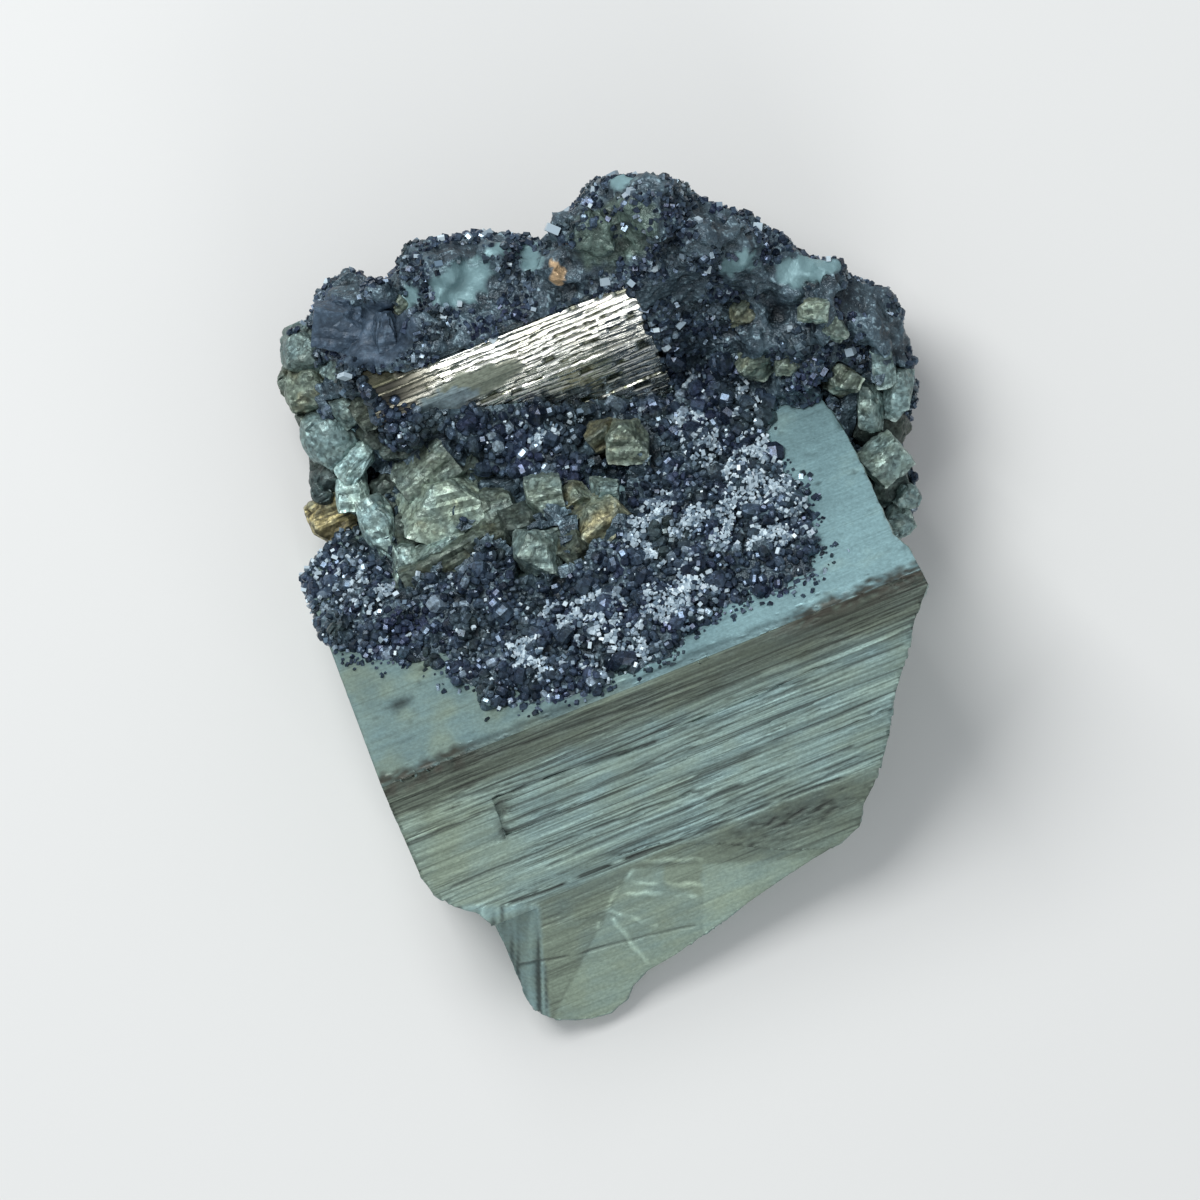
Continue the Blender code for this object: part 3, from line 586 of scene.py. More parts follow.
def second_relief(u, w, down):
    """The stepped face at one place: height over its plane, seam (darkened as painted shade), warmth,
    lightness, rust, bloom.
    """
    left_end = ramp(20.5 - u, 0.0, 5.0)
    smooth = blob(u + 0.5 * wavy(u, w, 26), w + 0.4 * wavy(u, w, 27), SMOOTH_BAND)
    bloom = blob(u + 0.8 * wavy(u * 1.5, w * 1.5, 28), w + 0.6 * wavy(u * 1.5, w * 1.5, 29), BLUE_BLOOM)
    smooth = min(1.0, 1.6 * max(smooth, bloom))
    row_place = down / BRIGHT_COURSE + 0.7 * wavy(u / 5, down / 3.5, 21)
    row = math.floor(row_place)
    rest = row_place - row
    length = 0.6 + chance_at(row, 1) + 5.0 * left_end
    dash_place = u / length + chance_at(row, 2)
    dash = math.floor(dash_place)
    kind = chance_at(row, dash)
    to_end = min(dash_place - dash, 1 - dash_place + dash) * length
    shown = ramp(kind + wavy(u / 2.6, w / 1.6, 31), 0.25, 0.45) * ramp(to_end, -0.1, 0.2)
    dark_from = BRIGHT_TREAD * (0.8 + 0.4 * chance_at(dash, row))
    tilt = 0.16 + 0.09 * kind
    tread = ramp(rest, 0.0, dark_from)
    drop = ramp(rest, dark_from, dark_from + 0.1)
    recess = drop * (1 - ramp(rest, 0.92, 1.0)) * shown
    height = tilt * BRIGHT_COURSE * (tread - drop) * dark_from - 0.08 * recess + 0.04 * (kind - 0.5)
    # The recess under each step, and whole dashes where kind is lowest, get the seam value: painted shade.
    seam = recess
    if kind < 0.05:
        seam, height = 0.8, height - 0.1
    height *= 1 - smooth
    seam *= 1 - smooth
    ledges = ramp(wavy(u / 7, down / 0.7, 24), 0.1, 0.3) * ramp(w + 0.15 * u, 36.0, 36.8)
    warmth = 0.1 + 0.6 * left_end + 0.3 * wavy(u / 4, w / 2, 25)
    warmth += smooth * (1.0 - 2.0 * min(1.0, 1.5 * bloom) - warmth)
    lightness = 1.0 - 0.35 * left_end
    rust = left_end * (1 - 0.75 * ledges)
    return height, seam, max(warmth, 0.0), lightness, rust * (1 - smooth), 0.85 * smooth


def second_crystal():
    bm = merged_copy("second_cube")
    slice_faces(bm, list(bm.faces), 0, stops_between(*BRIGHT_ENDS, BRIGHT_CUTS[0]))
    front = [face for face in bm.faces if face.normal.y < -0.1 or face.normal.z > 0.9]
    slice_faces(bm, front, 1, stops_between(20, 40, BRIGHT_CUTS[1]))
    bm.normal_update()
    columns = {name: [] for name in ("groove", "warmth", "lightness", "rust", "bloom")}
    moves = []
    for vert in bm.verts:
        u, w, z = vert.co
        height, values = 0.0, (0.7, 0.4, 0.4, 0.9, 0.0)
        if any(face.normal.dot(FRONT) > 0.98 for face in vert.link_faces):
            height, *values = second_relief(u, w, -(w + z) * SLOPE)
        moves.append(FRONT * height)
        add_row(columns, values)
    for vert, move in zip(bm.verts, moves):
        vert.co += move
    return plain_piece(bm, "bright_crystal", bright_pyrite(), columns)


bright_crystal = second_crystal()
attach(bright_crystal, "root")
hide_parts("second_cube")

# The small pyrite crystals.
# Stubby cubes of pyrite grown into each other: a heap in the middle of the crust, and a row of lumps along
# each side of the matrix. They are fast to the crust and the rock, duller than the big crystal, and worn.
CRYSTAL_CUTS = 17  # how finely each crystal's faces are divided
CRYSTAL_BREAKS = 9  # how many corners or edges may be broken off each
# Each crystal: u, w, z of its middle, its three sides, turn about z and tilt in degrees. Then its tone, from
# 0, grey teal, over 0.5, olive, to 1, golden, its lightness, and how round it is worn.
CENTRE_CRYSTALS = [
    (15.4, 23.1, 14.3, (8.2, 6.8, 6.2), -8, 8, 0.45, 1.35, 0.0),
    (15.4, 27.4, 13.0, (6.2, 5.8, 5.8), 17, 10, 0.4, 0.75, 0.0),
    (13.6, 17.6, 15.6, (8.6, 5.6, 5.0), 6, 20, 0.5, 0.55, 0.0),
    (18.8, 19.0, 16.4, (4.8, 4.0, 4.0), 20, 30, 0.5, 0.5, 0.0),
    (9.8, 19.2, 15.0, (2.2, 5.2, 3.4), -22, 12, 0.2, 1.1, 0.05),
    (13.2, 20.0, 16.8, (6.0, 1.3, 2.4), 4, 35, 0.25, 1.2, 0.1),
    (8.9, 24.0, 12.8, (3.4, 6.8, 3.4), -6, 4, 0.1, 1.45, 0.05),
    (7.9, 28.9, 11.1, (3.2, 4.8, 3.0), -15, 0, 0.15, 1.8, 0.2),
    (10.0, 31.6, 11.6, (6.4, 2.4, 3.4), 29, 4, 0.1, 1.8, 0.2),
    (25.6, 20.6, 18.6, (3.6, 4.6, 5.2), -12, 12, 0.3, 0.95, 0.1),
    (23.0, 15.8, 21.8, (5.0, 4.6, 6.0), -20, 2, 0.15, 0.95, 0.0),
    (26.6, 14.6, 22.2, (3.2, 4.2, 5.0), 30, 34, 0.5, 0.45, 0.0),
    (29.8, 16.2, 21.2, (5.4, 4.6, 5.2), 22, 12, 0.72, 1.0, 0.0),
    (31.4, 19.0, 20.0, (2.8, 2.4, 3.0), -20, 20, 0.1, 1.0, 0.1),
    (28.2, 19.4, 19.0, (3.4, 3.0, 4.0), 10, 25, 0.65, 0.8, 0.1),
    (35.4, 22.9, 15.8, (4.4, 4.2, 5.0), -22, 8, 0.5, 0.8, 0.0),
    (33.4, 24.4, 15.0, (3.4, 3.2, 4.4), 15, 25, 0.7, 0.5, 0.0),
    (20.2, 21.6, 15.2, (4.4, 4.4, 4.8), 5, 38, 0.4, 0.6, 0.1),
    (11.6, 26.4, 10.0, (5.4, 5.4, 3.4), 20, 8, 0.3, 0.4, 0.2),
    (13.2, 21.4, 13.4, (6.0, 5.6, 3.8), -10, 40, 0.4, 0.45, 0.2),
    (18.6, 25.6, 11.8, (5.4, 5.0, 3.8), 25, 30, 0.45, 0.6, 0.2),
    (22.8, 18.6, 17.6, (5.6, 4.6, 4.2), -10, 40, 0.3, 0.4, 0.2),
    (27.6, 17.6, 18.2, (5.6, 4.4, 4.0), 12, 40, 0.6, 0.45, 0.2),
]
LEFT_LUMPS = [
    (8.3, 43.4, 10.6, (4.2, 4.4, 5.4), 20, 20, 0.1, 0.8, 0.55),
    (7.7, 39.8, 10.4, (4.4, 4.6, 5.0), -15, 20, 0.5, 0.8, 0.5),
    (11.7, 40.4, 13.0, (3.6, 3.6, 4.8), 30, 18, 0.05, 1.05, 0.2),
    (10.9, 36.8, 11.8, (3.6, 3.4, 5.2), 10, 20, 0.15, 0.85, 0.25),
    (6.1, 30.6, 8.2, (3.6, 3.6, 5.0), 35, 10, 0.0, 0.3, 0.8),
    (4.9, 26.9, 6.9, (4.6, 5.0, 4.8), 4, 6, 1.0, 1.1, 0.15),
    (10.1, 43.0, 10.0, (4.0, 4.6, 5.0), 5, 30, 0.2, 0.5, 0.3),
    (7.8, 34.4, 9.9, (4.8, 6.2, 5.2), 12, 8, 0.0, 1.05, 0.85),
    (4.9, 29.8, 9.2, (2.2, 2.4, 2.6), 10, 0, 0.0, 0.35, 0.9),
    (7.1, 36.8, 9.0, (3.6, 3.6, 4.0), 10, 20, 0.3, 0.5, 0.7),
    (7.1, 31.8, 7.6, (4.2, 4.2, 4.2), 10, 20, 0.2, 0.4, 0.7),
    (6.1, 28.4, 6.4, (3.8, 3.8, 3.8), 10, 20, 0.8, 0.4, 0.6),
    (8.7, 45.0, 9.4, (3.0, 3.0, 3.4), 10, 20, 0.1, 0.7, 0.7),
    (6.3, 41.4, 8.8, (3.0, 3.0, 3.4), 10, 20, 0.5, 0.6, 0.7),
    (12.3, 35.7, 14.2, (3.0, 3.4, 4.8), 15, 15, 0.5, 0.4, 0.2),
    (12.2, 33.2, 12.4, (2.8, 3.2, 4.6), 35, 20, 0.4, 0.35, 0.2),
    (13.2, 31.2, 12.8, (2.6, 2.6, 4.4), 10, 25, 0.2, 0.35, 0.2),
]
RIGHT_LUMPS = [
    (62.5, 17.4, 13.2, (2.8, 5.4, 5.0), -30, 12, 0.05, 1.05, 0.25),
    (59.5, 17.2, 13.6, (2.6, 4.8, 5.0), -22, 15, 0.15, 0.95, 0.2),
    (62.0, 20.6, 14.4, (2.4, 4.6, 4.6), -8, 10, 0.05, 1, 0.25),
    (58.5, 11.7, 14.6, (4.4, 4.2, 5.4), 18, 14, 0.2, 1.1, 0.1),
    (57.4, 20.6, 15.6, (2.8, 3.0, 5.0), 40, 20, 0.5, 0.7, 0.1),
    (60.3, 14.4, 11.2, (4.0, 4.2, 4.2), 12, 30, 0.4, 0.3, 0.2),
    (58.9, 14.8, 12.0, (3.8, 4.0, 4.6), 45, 20, 0.3, 0.25, 0.2),
    (58.9, 7.8, 11.6, (2.9, 3.0, 4.6), 25, 26, 0.1, 0.95, 0.35),
    (57.7, 5.6, 12.4, (2.8, 2.6, 4.6), 8, 25, 0.15, 0.95, 0.3),
    (58.3, 9.2, 11.4, (3.8, 4.0, 4.6), -12, 20, 0.2, 0.5, 0.3),
]


def pointiness(tree):
    """About 0.5 on flat ground, less in hollows and more on edges."""
    return add_node(tree, "ShaderNodeNewGeometry").outputs["Pointiness"]


def dull_pyrite():
    """Pyrite with a grey-green skin, striped where golden. Its edges are pale, from worn skin and a painted
    highlight, and its corners are darkened with painted shade.
    """
    teal, olive, gold = (0.17, 0.25, 0.25, 1), (0.19, 0.24, 0.19, 1), (0.34, 0.29, 0.14, 1)
    pale = (0.50, 0.60, 0.54, 1)
    material, tree = new_finish("dull_pyrite")
    patches, grain = placed_group(tree, MOTTLE, 2.2, 0.6)
    striae = placed_group(tree, STRIAE, 4.0, 0.55)["Lines"]
    facets = placed_group(tree, FACETS, 0.32)["Grains"]
    tone = plus(tree, mesh_value(tree, "tone"), between(tree, patches, -0.2, 0.2))
    colour = blended(tree, spread(tree, tone, 0.0, 0.5), teal, olive)
    colour = blended(tree, spread(tree, tone, 0.55, 1.0), colour, gold)
    # Painted light by pointiness: the edges are mixed towards pale, as worn skin and a painted highlight, and
    # the hollows are darkened, as painted shade.
    point = pointiness(tree)
    colour = blended(tree, spread(tree, point, 0.515, 0.60, 0.0, 0.45), colour, pale)
    striped = spread(tree, tone, 0.6, 1.0, 0.2, 1.0)
    stripes = times(tree, striped, spread(tree, striae, 0.35, 0.65, -0.7, 0.15))
    light = times(
        tree, spread(tree, point, 0.42, 0.505, 0.15, 1.0), mesh_value(tree, "lightness"),
        between(tree, grain, 0.72, 1.25), plus(tree, stripes, 1.0), between(tree, facets, 0.62, 1.45),
    )
    rough = between(tree, grain, 0.36, 0.6)
    dress(tree, lit(tree, colour, light), 0.5, rough, plus(tree, grain, facets), 0.6, 0.08)
    return material


DULL_PYRITE = dull_pyrite()


def add_grown_crystal(bm, middle, sides, turn, tilt, roundness, chance):
    """Adds a closed crystal, a cube with broken corners and stepped faces. Returns how many vertices."""
    own = bmesh.new()
    bmesh.ops.create_cube(own, size=2.0)
    bmesh.ops.subdivide_edges(own, edges=own.edges[:], cuts=CRYSTAL_CUTS, use_grid_fill=True)
    breaks = []
    for _ in range(CRYSTAL_BREAKS):
        away = Vector([chance.uniform(-1, 1) for _ in range(3)]).normalized()
        breaks.append((away, chance.uniform(0.86, 1.2)))
    shift = Vector([chance.uniform(-50, 50) for _ in range(3)])
    axes = [max(range(3), key=lambda axis: abs(vert.co[axis])) for vert in own.verts]
    for vert in own.verts:
        place = vert.co.lerp(vert.co.normalized() * 1.2, roundness)
        for away, reach in breaks:
            past = place.dot(away) - reach
            if past > 0:
                place -= away * past
        vert.co = Vector([share * side / 2 for share, side in zip(place, sides)])
    own.normal_update()
    turned = Matrix.Rotation(math.radians(turn), 4, "Z") @ Matrix.Rotation(math.radians(tilt), 4, "X")
    placed = Matrix.Translation(middle) @ turned
    for vert, normal, axis in [(vert, vert.normal.copy(), axis) for vert, axis in zip(own.verts, axes)]:
        along, across = vert.co[(axis + 1) % 3], vert.co[(axis + 2) % 3]
        steps = snapped(noise.noise(Vector((along / 4.0, across / 0.8, axis)) + shift), 4)
        chips = snapped(noise.noise(vert.co / 1.2 + shift), 3)
        fine = noise.noise(vert.co / 0.35 + shift)
        vert.co = placed @ (vert.co + normal * (0.26 * steps + 0.14 * chips + 0.06 * fine))
    mesh = bpy.data.meshes.new("crystal")
    own.to_mesh(mesh)
    bm.from_mesh(mesh)
    count = len(own.verts)
    own.free()
    bpy.data.meshes.remove(mesh)
    return count


def small_crystals(name, crystals, seed, finish=DULL_PYRITE, navy=0.0):
    """One piece of many grown crystals."""
    chance = random.Random(seed)
    bm = bmesh.new()
    columns = {"tone": [], "lightness": [], "navy": []}
    for u, w, z, sides, turn, tilt, tone, lightness, roundness in crystals:
        for _ in range(add_grown_crystal(bm, (u, w, z), sides, turn, tilt, roundness, chance)):
            add_row(columns, (tone, lightness, navy))
    piece = plain_piece(bm, name, finish, columns, sharp=14)
    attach(piece, "root")
    return piece


centre_heap = small_crystals("centre_heap", CENTRE_CRYSTALS, 11)
left_rim = small_crystals("left_rim", LEFT_LUMPS, 12)
right_rim = small_crystals("right_rim", RIGHT_LUMPS, 13)
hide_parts("centre_cluster")
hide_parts("left_rim_crystals")
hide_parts("right_rim_crystals")

# The matrix.
# Dark, fine-grained massive sulphide that the crystals grew from, broken off all round. Its skin is lumpy
# and gritty, with small dark cubes and some pyrites in it, smooth dark blocks at its left, and here and
# there a smooth blue-green face of a buried crystal.
ROCK_VOXEL = 0.45  # how fine its mesh is
COVER_REACH = 1.1  # a neighbour no further than this over the skin has it covered
UP = Vector((0, 0, 1))
# Ovals on it: u, w, and how far each reaches along u and w.
TEAL_PATCHES = [
    (25.8, 43.7, 3.6, 2.0), (59.4, 32.1, 4.8, 1.6), (44.7, 47.2, 1.5, 0.9), (33.2, 43.4, 1.5, 1.4),
    (52.5, 35.0, 2.4, 0.9), (30.2, 45.2, 1.4, 1.0), (20.4, 44.6, 1.3, 0.9),
]
GREEN_HUMP = (42.1, 42.6, 5.0, 3.8)
NAVY_PLACE = (15.9, 42.1, 4.6, 3.4)
RUST_SPOT = (35.1, 40.8, 0.8, 1.5)
# The dark blocks and the small pyrites, as in CENTRE_CRYSTALS but without z, because they sit in its top.
DARK_BLOCKS = [
    (13.2, 44.0, (6.0, 4.8, 3.8), -26, 12, 0, 1, 0.0),
    (16.8, 41.2, (2.8, 6.0, 3.8), -16, 6, 0, 1, 0.0),
    (14.0, 46.2, (3.8, 2.6, 3.4), -32, 26, 0, 1, 0.05),
]
ROCK_PYRITES = [
    (50.8, 30.7, (3.4, 3.0, 3.0), 20, 25, 0.7, 0.75, 0.1),
    (57.4, 28.0, (3.0, 2.2, 2.6), -25, 15, 0.45, 1.1, 0.1),
    (58.7, 25.6, (2.2, 2.6, 2.6), 35, 20, 0.3, 0.8, 0.1),
    (50.2, 25.3, (3.6, 3.2, 2.6), 10, 30, 0.45, 0.8, 0.1),
    (53.2, 24.2, (2.4, 2.2, 2.2), -20, 20, 0.5, 0.7, 0.1),
    (19.4, 44.0, (2.0, 1.8, 2.0), 30, 20, 0.5, 0.8, 0.2),
]


def remeshed(bm, voxel):
    """The closed shape as a fine even mesh, its edges rounded by about the voxel. The bmesh is replaced."""
    mesh = bpy.data.meshes.new("rough")
    bm.to_mesh(mesh)
    bm.free()
    holder = bpy.data.objects.new("rough", mesh)
    bpy.context.scene.collection.objects.link(holder)
    modifier = holder.modifiers.new("even", "REMESH")
    modifier.mode = "VOXEL"
    modifier.voxel_size = voxel
    bpy.context.view_layer.update()
    result = bpy.data.meshes.new_from_object(holder.evaluated_get(bpy.context.evaluated_depsgraph_get()))
    even = bmesh.new()
    even.from_mesh(result)
    bpy.data.objects.remove(holder, do_unlink=True)
    bpy.data.meshes.remove(mesh)
    bpy.data.meshes.remove(result)
    return even


def dark_matrix():
    """Navy-black rock with slate and blue-green places. Its hollows are darkened with painted shade and
    its edges lightened with a painted highlight.
    """
    black, slate, pale = (0.022, 0.036, 0.050, 1), (0.075, 0.115, 0.140, 1), (0.22, 0.31, 0.35, 1)
    tints = {"green": (0.085, 0.125, 0.100, 1), "navy": (0.040, 0.065, 0.100, 1)}
    skins = {"teal": (0.20, 0.33, 0.35, 1), "rust": (0.55, 0.38, 0.22, 1)}
    material, tree = new_finish("dark_matrix")
    patches, grain = placed_group(tree, MOTTLE, 2.6, 0.5)
    colour = blended(tree, patches, black, slate)
    colour = blended(tree, spread(tree, grain, 0.72, 1.0, 0.0, 0.7), colour, pale)
    for name, tint in tints.items():
        colour = blended(tree, mesh_value(tree, name), colour, tint)
    point = pointiness(tree)
    # Painted light by pointiness: painted shade in the hollows, painted highlight on the edges.
    light = times(tree, spread(tree, point, 0.42, 0.54, 0.3, 1.3), between(tree, grain, 0.7, 1.3))
    colour = lit(tree, colour, light)
    for name, skin in skins.items():
        colour = blended(tree, mesh_value(tree, name), colour, skin)
    smooth = maths(tree, "MAXIMUM", mesh_value(tree, "teal"), mesh_value(tree, "navy"))
    rough = plus(tree, between(tree, grain, 0.25, 0.5), between(tree, smooth, 0.0, 0.2))
    dress(tree, colour, 0.3, rough, times(tree, grain, between(tree, smooth, 1.0, 0.1)), 0.7, 0.2)
    return material


def dark_crystals():
    """Glossy blue-black crystals. Each has its own tone, from near black to slate, and a few are pale:
    painted glints.
    """
    black, slate, pale = (0.010, 0.017, 0.032, 1), (0.060, 0.092, 0.135, 1), (0.36, 0.46, 0.54, 1)
    green, violet = (0.06, 0.085, 0.075, 1), (0.045, 0.055, 0.115, 1)
    material, tree = new_finish("dark_crystals")
    patches, grain = placed_group(tree, MOTTLE, 4.0, 0.3)
    facets = placed_group(tree, FACETS, 0.28)["Grains"]
    shade = mesh_value(tree, "shade")
    colour = blended(tree, spread(tree, shade, 0.0, 0.9), black, slate)
    # Painted glints: the crystals whose shade value is over 0.9 are made pale.
    colour = blended(tree, spread(tree, shade, 0.9, 1.0), colour, pale)
    colour = blended(tree, spread(tree, patches, 0.5, 1.0, 0.0, 0.6), colour, green)
    colour = blended(tree, spread(tree, patches, 0.4, 0.0, 0.0, 0.6), colour, violet)
    colour = lit(tree, colour, between(tree, facets, 0.6, 1.6))
    dress(tree, colour, 0.5, between(tree, grain, 0.12, 0.34), facets, 0.3, 0.05)
    return material


def pale_crystals():
    """Sugary white grains with a blue cast."""
    material, tree = new_finish("pale_crystals")
    colour = blended(tree, mesh_value(tree, "shade"), (0.11, 0.17, 0.23, 1), (0.66, 0.78, 0.84, 1))
    set_inputs(tree, tree.nodes["Principled BSDF"], {"Base Color": colour, "Roughness": 0.25})
    return material


DARK_MATRIX = dark_matrix()
DARK_CRYSTALS = dark_crystals()
PALE_CRYSTALS = pale_crystals()


def unit_crystal(name, bevel, squash=(1, 1, 1)):
    """A cube of about unit size with its edges and corners cut off: what the scattering repeats."""
    bm = bmesh.new()
    bmesh.ops.create_cube(bm, size=1.0)
    if bevel:
        bmesh.ops.bevel(bm, geom=bm.edges[:], offset=bevel, segments=1, affect="EDGES")
    bmesh.ops.scale(bm, vec=squash, verts=bm.verts[:])
    mesh = bpy.data.meshes.new(name)
    bm.to_mesh(mesh)
    bm.free()
    return bpy.data.objects.new(name, mesh)


# What crystal_crop takes besides the mesh, in the order in which grow_crystals gives it.
CRYSTAL_CROP_INPUTS = {
    "Crystal": "Object", "Spacing": "Float", "Smallest": "Float", "Largest": "Float", "Lift": "Float",
    "Seed": "Int", "Finish": "Material",
}


def random_value(tree, low, high, seed, kind="FLOAT"):
    """A Random Value node's result, a number or a vector, between the two given."""
    first = 2 if kind == "FLOAT" else 0
    inputs = {first: low, first + 1: high, "Seed": seed}
    return add_node(tree, "FunctionNodeRandomValue", inputs, data_type=kind).outputs[first // 2]


def scaled(tree, vector, factor):
    return result_of(tree, "ShaderNodeVectorMath", {0: vector, "Scale": factor}, operation="SCALE")


def crystal_crop():
    """Scatters crystals over a mesh where its "crop" value is above 0, no closer than Spacing, and joins
    them in one mesh."""
    tree = bpy.data.node_groups.new("crystal_crop", "GeometryNodeTree")
    tree.interface.new_socket("Ground", in_out="INPUT", socket_type="NodeSocketGeometry")
    for label, kind in CRYSTAL_CROP_INPUTS.items():
        tree.interface.new_socket(label, in_out="INPUT", socket_type="NodeSocket" + kind)
    tree.interface.new_socket("Crystals", in_out="OUTPUT", socket_type="NodeSocketGeometry")
    given = tree.nodes.new("NodeGroupInput").outputs
    spacing, seed = given["Spacing"], given["Seed"]
    crop = add_node(tree, "GeometryNodeInputNamedAttribute", {"Name": "crop"}, data_type="FLOAT")
    densest = maths(tree, "DIVIDE", 4.0, times(tree, spacing, spacing))
    points = add_node(
        tree, "GeometryNodeDistributePointsOnFaces",
        {"Mesh": given["Ground"], "Distance Min": spacing, "Density Max": densest,
         "Density Factor": crop.outputs["Attribute"], "Seed": seed},
        distribute_method="POISSON",
    ).outputs
    raised = scaled(tree, points["Normal"], given["Lift"])
    placed = result_of(tree, "GeometryNodeSetPosition", {"Geometry": points["Points"], "Offset": raised})
    crystal = add_node(tree, "GeometryNodeObjectInfo", {"Object": given["Crystal"]}).outputs["Geometry"]
    turn = random_value(tree, (0, 0, 0), (math.tau, math.tau, math.tau), seed, "FLOAT_VECTOR")
    uneven = random_value(tree, (0.65, 0.65, 0.65), (1.3, 1.3, 1.3), seed, "FLOAT_VECTOR")
    size = scaled(tree, uneven, random_value(tree, given["Smallest"], given["Largest"], seed))
    grown = result_of(
        tree, "GeometryNodeInstanceOnPoints",
        {"Points": placed, "Instance": crystal, "Rotation": turn, "Scale": size},
    )
    shaded = result_of(
        tree, "GeometryNodeStoreNamedAttribute",
        {"Geometry": grown, "Name": "shade", "Value": random_value(tree, 0.0, 1.0, 0)},
        data_type="FLOAT", domain="INSTANCE",
    )
    joined = result_of(tree, "GeometryNodeRealizeInstances", {"Geometry": shaded})
    finished = result_of(tree, "GeometryNodeSetMaterial", {"Geometry": joined, "Material": given["Finish"]})
    tree.links.new(finished, tree.nodes.new("NodeGroupOutput").inputs["Crystals"])
    return tree


CRYSTAL_CROP = crystal_crop()


def grow_crystals(ground, name, crop, crystal, sizes, lift, seed, finish=DARK_CRYSTALS):
    """A new piece: the crystals that crystal_crop scatters over the ground mesh, by the crop value of each
    vertex. Sizes are their spacing, the smallest and the largest, in millimetres, as is the lift."""
    holder = bpy.data.objects.new(name, ground.data.copy())
    attribute = holder.data.attributes.new("crop", "FLOAT", "POINT")
    attribute.data.foreach_set("value", np.array(crop, np.float32))
    bpy.context.scene.collection.objects.link(holder)
    modifier = holder.modifiers.new("crop", "NODES")
    modifier.node_group = CRYSTAL_CROP
    values = (crystal, *[size * MM for size in sizes], lift * MM, seed, finish)
    inputs = dict(zip(CRYSTAL_CROP_INPUTS, values))
    for item in CRYSTAL_CROP.interface.items_tree:
        if item.in_out == "INPUT" and item.name in inputs:
            modifier[item.identifier] = inputs[item.name]
    bpy.context.view_layer.update()
    mesh = bpy.data.meshes.new_from_object(holder.evaluated_get(bpy.context.evaluated_depsgraph_get()))
    holder.modifiers.clear()
    holder.data = mesh
    mesh.name = name
    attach(holder, "root")


# What lies where, node by node: the solid, or the small crystals made above in its place.
DRESSED = {"centre_cluster": centre_heap, "left_rim_crystals": left_rim, "right_rim_crystals": right_rim}
NODE_TREES = {}
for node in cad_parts:
    solid = in_crystal_axes(DRESSED[node].data) if node in DRESSED else merged_copy(node)
    NODE_TREES[node] = BVHTree.FromBMesh(solid)
    solid.free()


def is_blocked(start, direction, reach, own_node):
    """Whether another piece lies ahead of a place within the reach."""
    others = [tree for node, tree in NODE_TREES.items() if node != own_node]
    return any(tree.ray_cast(start, direction, reach)[0] for tree in others)


def gap_to(place, node):
    """How far a place is from the node, or 9 mm where it is further."""
    gap = NODE_TREES[node].find_nearest(place, 9.0)[3]
    return 9.0 if gap is None else gap


def matrix_rock():
    """The rock, and where crystals grow on it."""
    bm = remeshed(merged_copy("matrix"), ROCK_VOXEL)
    bm.normal_update()
    columns = {name: [] for name in ("teal", "green", "navy", "rust")}
    crop, moves = [], []
    for vert in bm.verts:
        u, w, z = vert.co
        x, y = page(u, w)
        upward = ramp(vert.normal.z, 0.0, 0.3)
        frayed_u, frayed_w = u + 1.1 * wavy(u / 0.9, w / 0.9, 61), w + 1.1 * wavy(u / 0.9, w / 0.9, 62)
        teal = upward * min(1.0, 2.2 * max(blob(frayed_u, frayed_w, zone) for zone in TEAL_PATCHES))
        green = upward * min(1.0, 1.8 * blob(frayed_u, frayed_w, GREEN_HUMP))
        navy = upward * min(1.0, 2.5 * blob(u, w, NAVY_PLACE))
        rust = upward * min(1.0, 3.0 * blob(frayed_u, frayed_w, RUST_SPOT))
        is_bare = not is_blocked(vert.co - 0.3 * vert.normal, vert.normal, COVER_REACH, "matrix")
        lumps = noise.fractal(vert.co / 3.4, 0.9, 2.1, 3)
        grit = noise.noise(vert.co / 0.75) + 0.5 * noise.noise(vert.co / 0.4)
        fibres = wavy(x / 0.45, y / 3.5, 63)
        ledges = snapped(wavy(x / 6.0, y / 0.9, 64), 3)
        calm = (1 - 0.75 * teal) * (1 - 0.7 * navy)
        height = calm * (0.75 * lumps + 0.26 * grit) + 0.3 * green * fibres + 0.14 * navy * ledges
        moves.append(vert.normal * (height - 0.15 if is_bare else 0.3))
        add_row(columns, (0.85 * teal, 0.8 * green, 0.8 * navy, rust))
        patches = ramp(noise.noise(vert.co / 4.2 + Vector((7, 3, 1))), -0.05, 0.35)
        clear = (1 - teal) * (1 - navy) * (1 - 0.8 * green)
        crop.append(patches * clear if is_bare and z > 0.8 else 0.0)
    for vert, move in zip(bm.verts, moves):
        vert.co += move
        vert.co.z = max(vert.co.z, 0.0)
    return plain_piece(bm, "matrix_rock", DARK_MATRIX, columns, sharp=50), crop


matrix_piece, matrix_crop = matrix_rock()
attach(matrix_piece, "root")
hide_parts("matrix")
STUBBY = unit_crystal("stubby", 0.24)
GRAIN = unit_crystal("grain", 0.0, (1.0, 0.8, 1.2))
grow_crystals(matrix_piece, "matrix_cubes", matrix_crop, STUBBY, (1.05, 0.4, 1.05), -0.08, 3)
more_crop = [min(1.0, 0.35 + share) if share else 0.0 for share in matrix_crop]
grow_crystals(matrix_piece, "matrix_grains", more_crop, GRAIN, (0.5, 0.25, 0.6), 0.0, 4)
# Pale grains scattered thinly over the matrix stand in for its glints: painted glints.
even_crop = [0.5 if share else 0.0 for share in matrix_crop]
grow_crystals(matrix_piece, "matrix_white_grains", even_crop, GRAIN, (2.4, 0.4, 0.95), 0.2, 7, PALE_CRYSTALS)


def seated(crystals, depth):
    """The crystals with their middles put below the rock's top by the depth."""
    tops = [NODE_TREES["matrix"].ray_cast(Vector((u, w, 50)), -UP)[0] for u, w, *_ in crystals]
    return [(u, w, top.z - depth, *rest) for (u, w, *rest), top in zip(crystals, tops) if top]


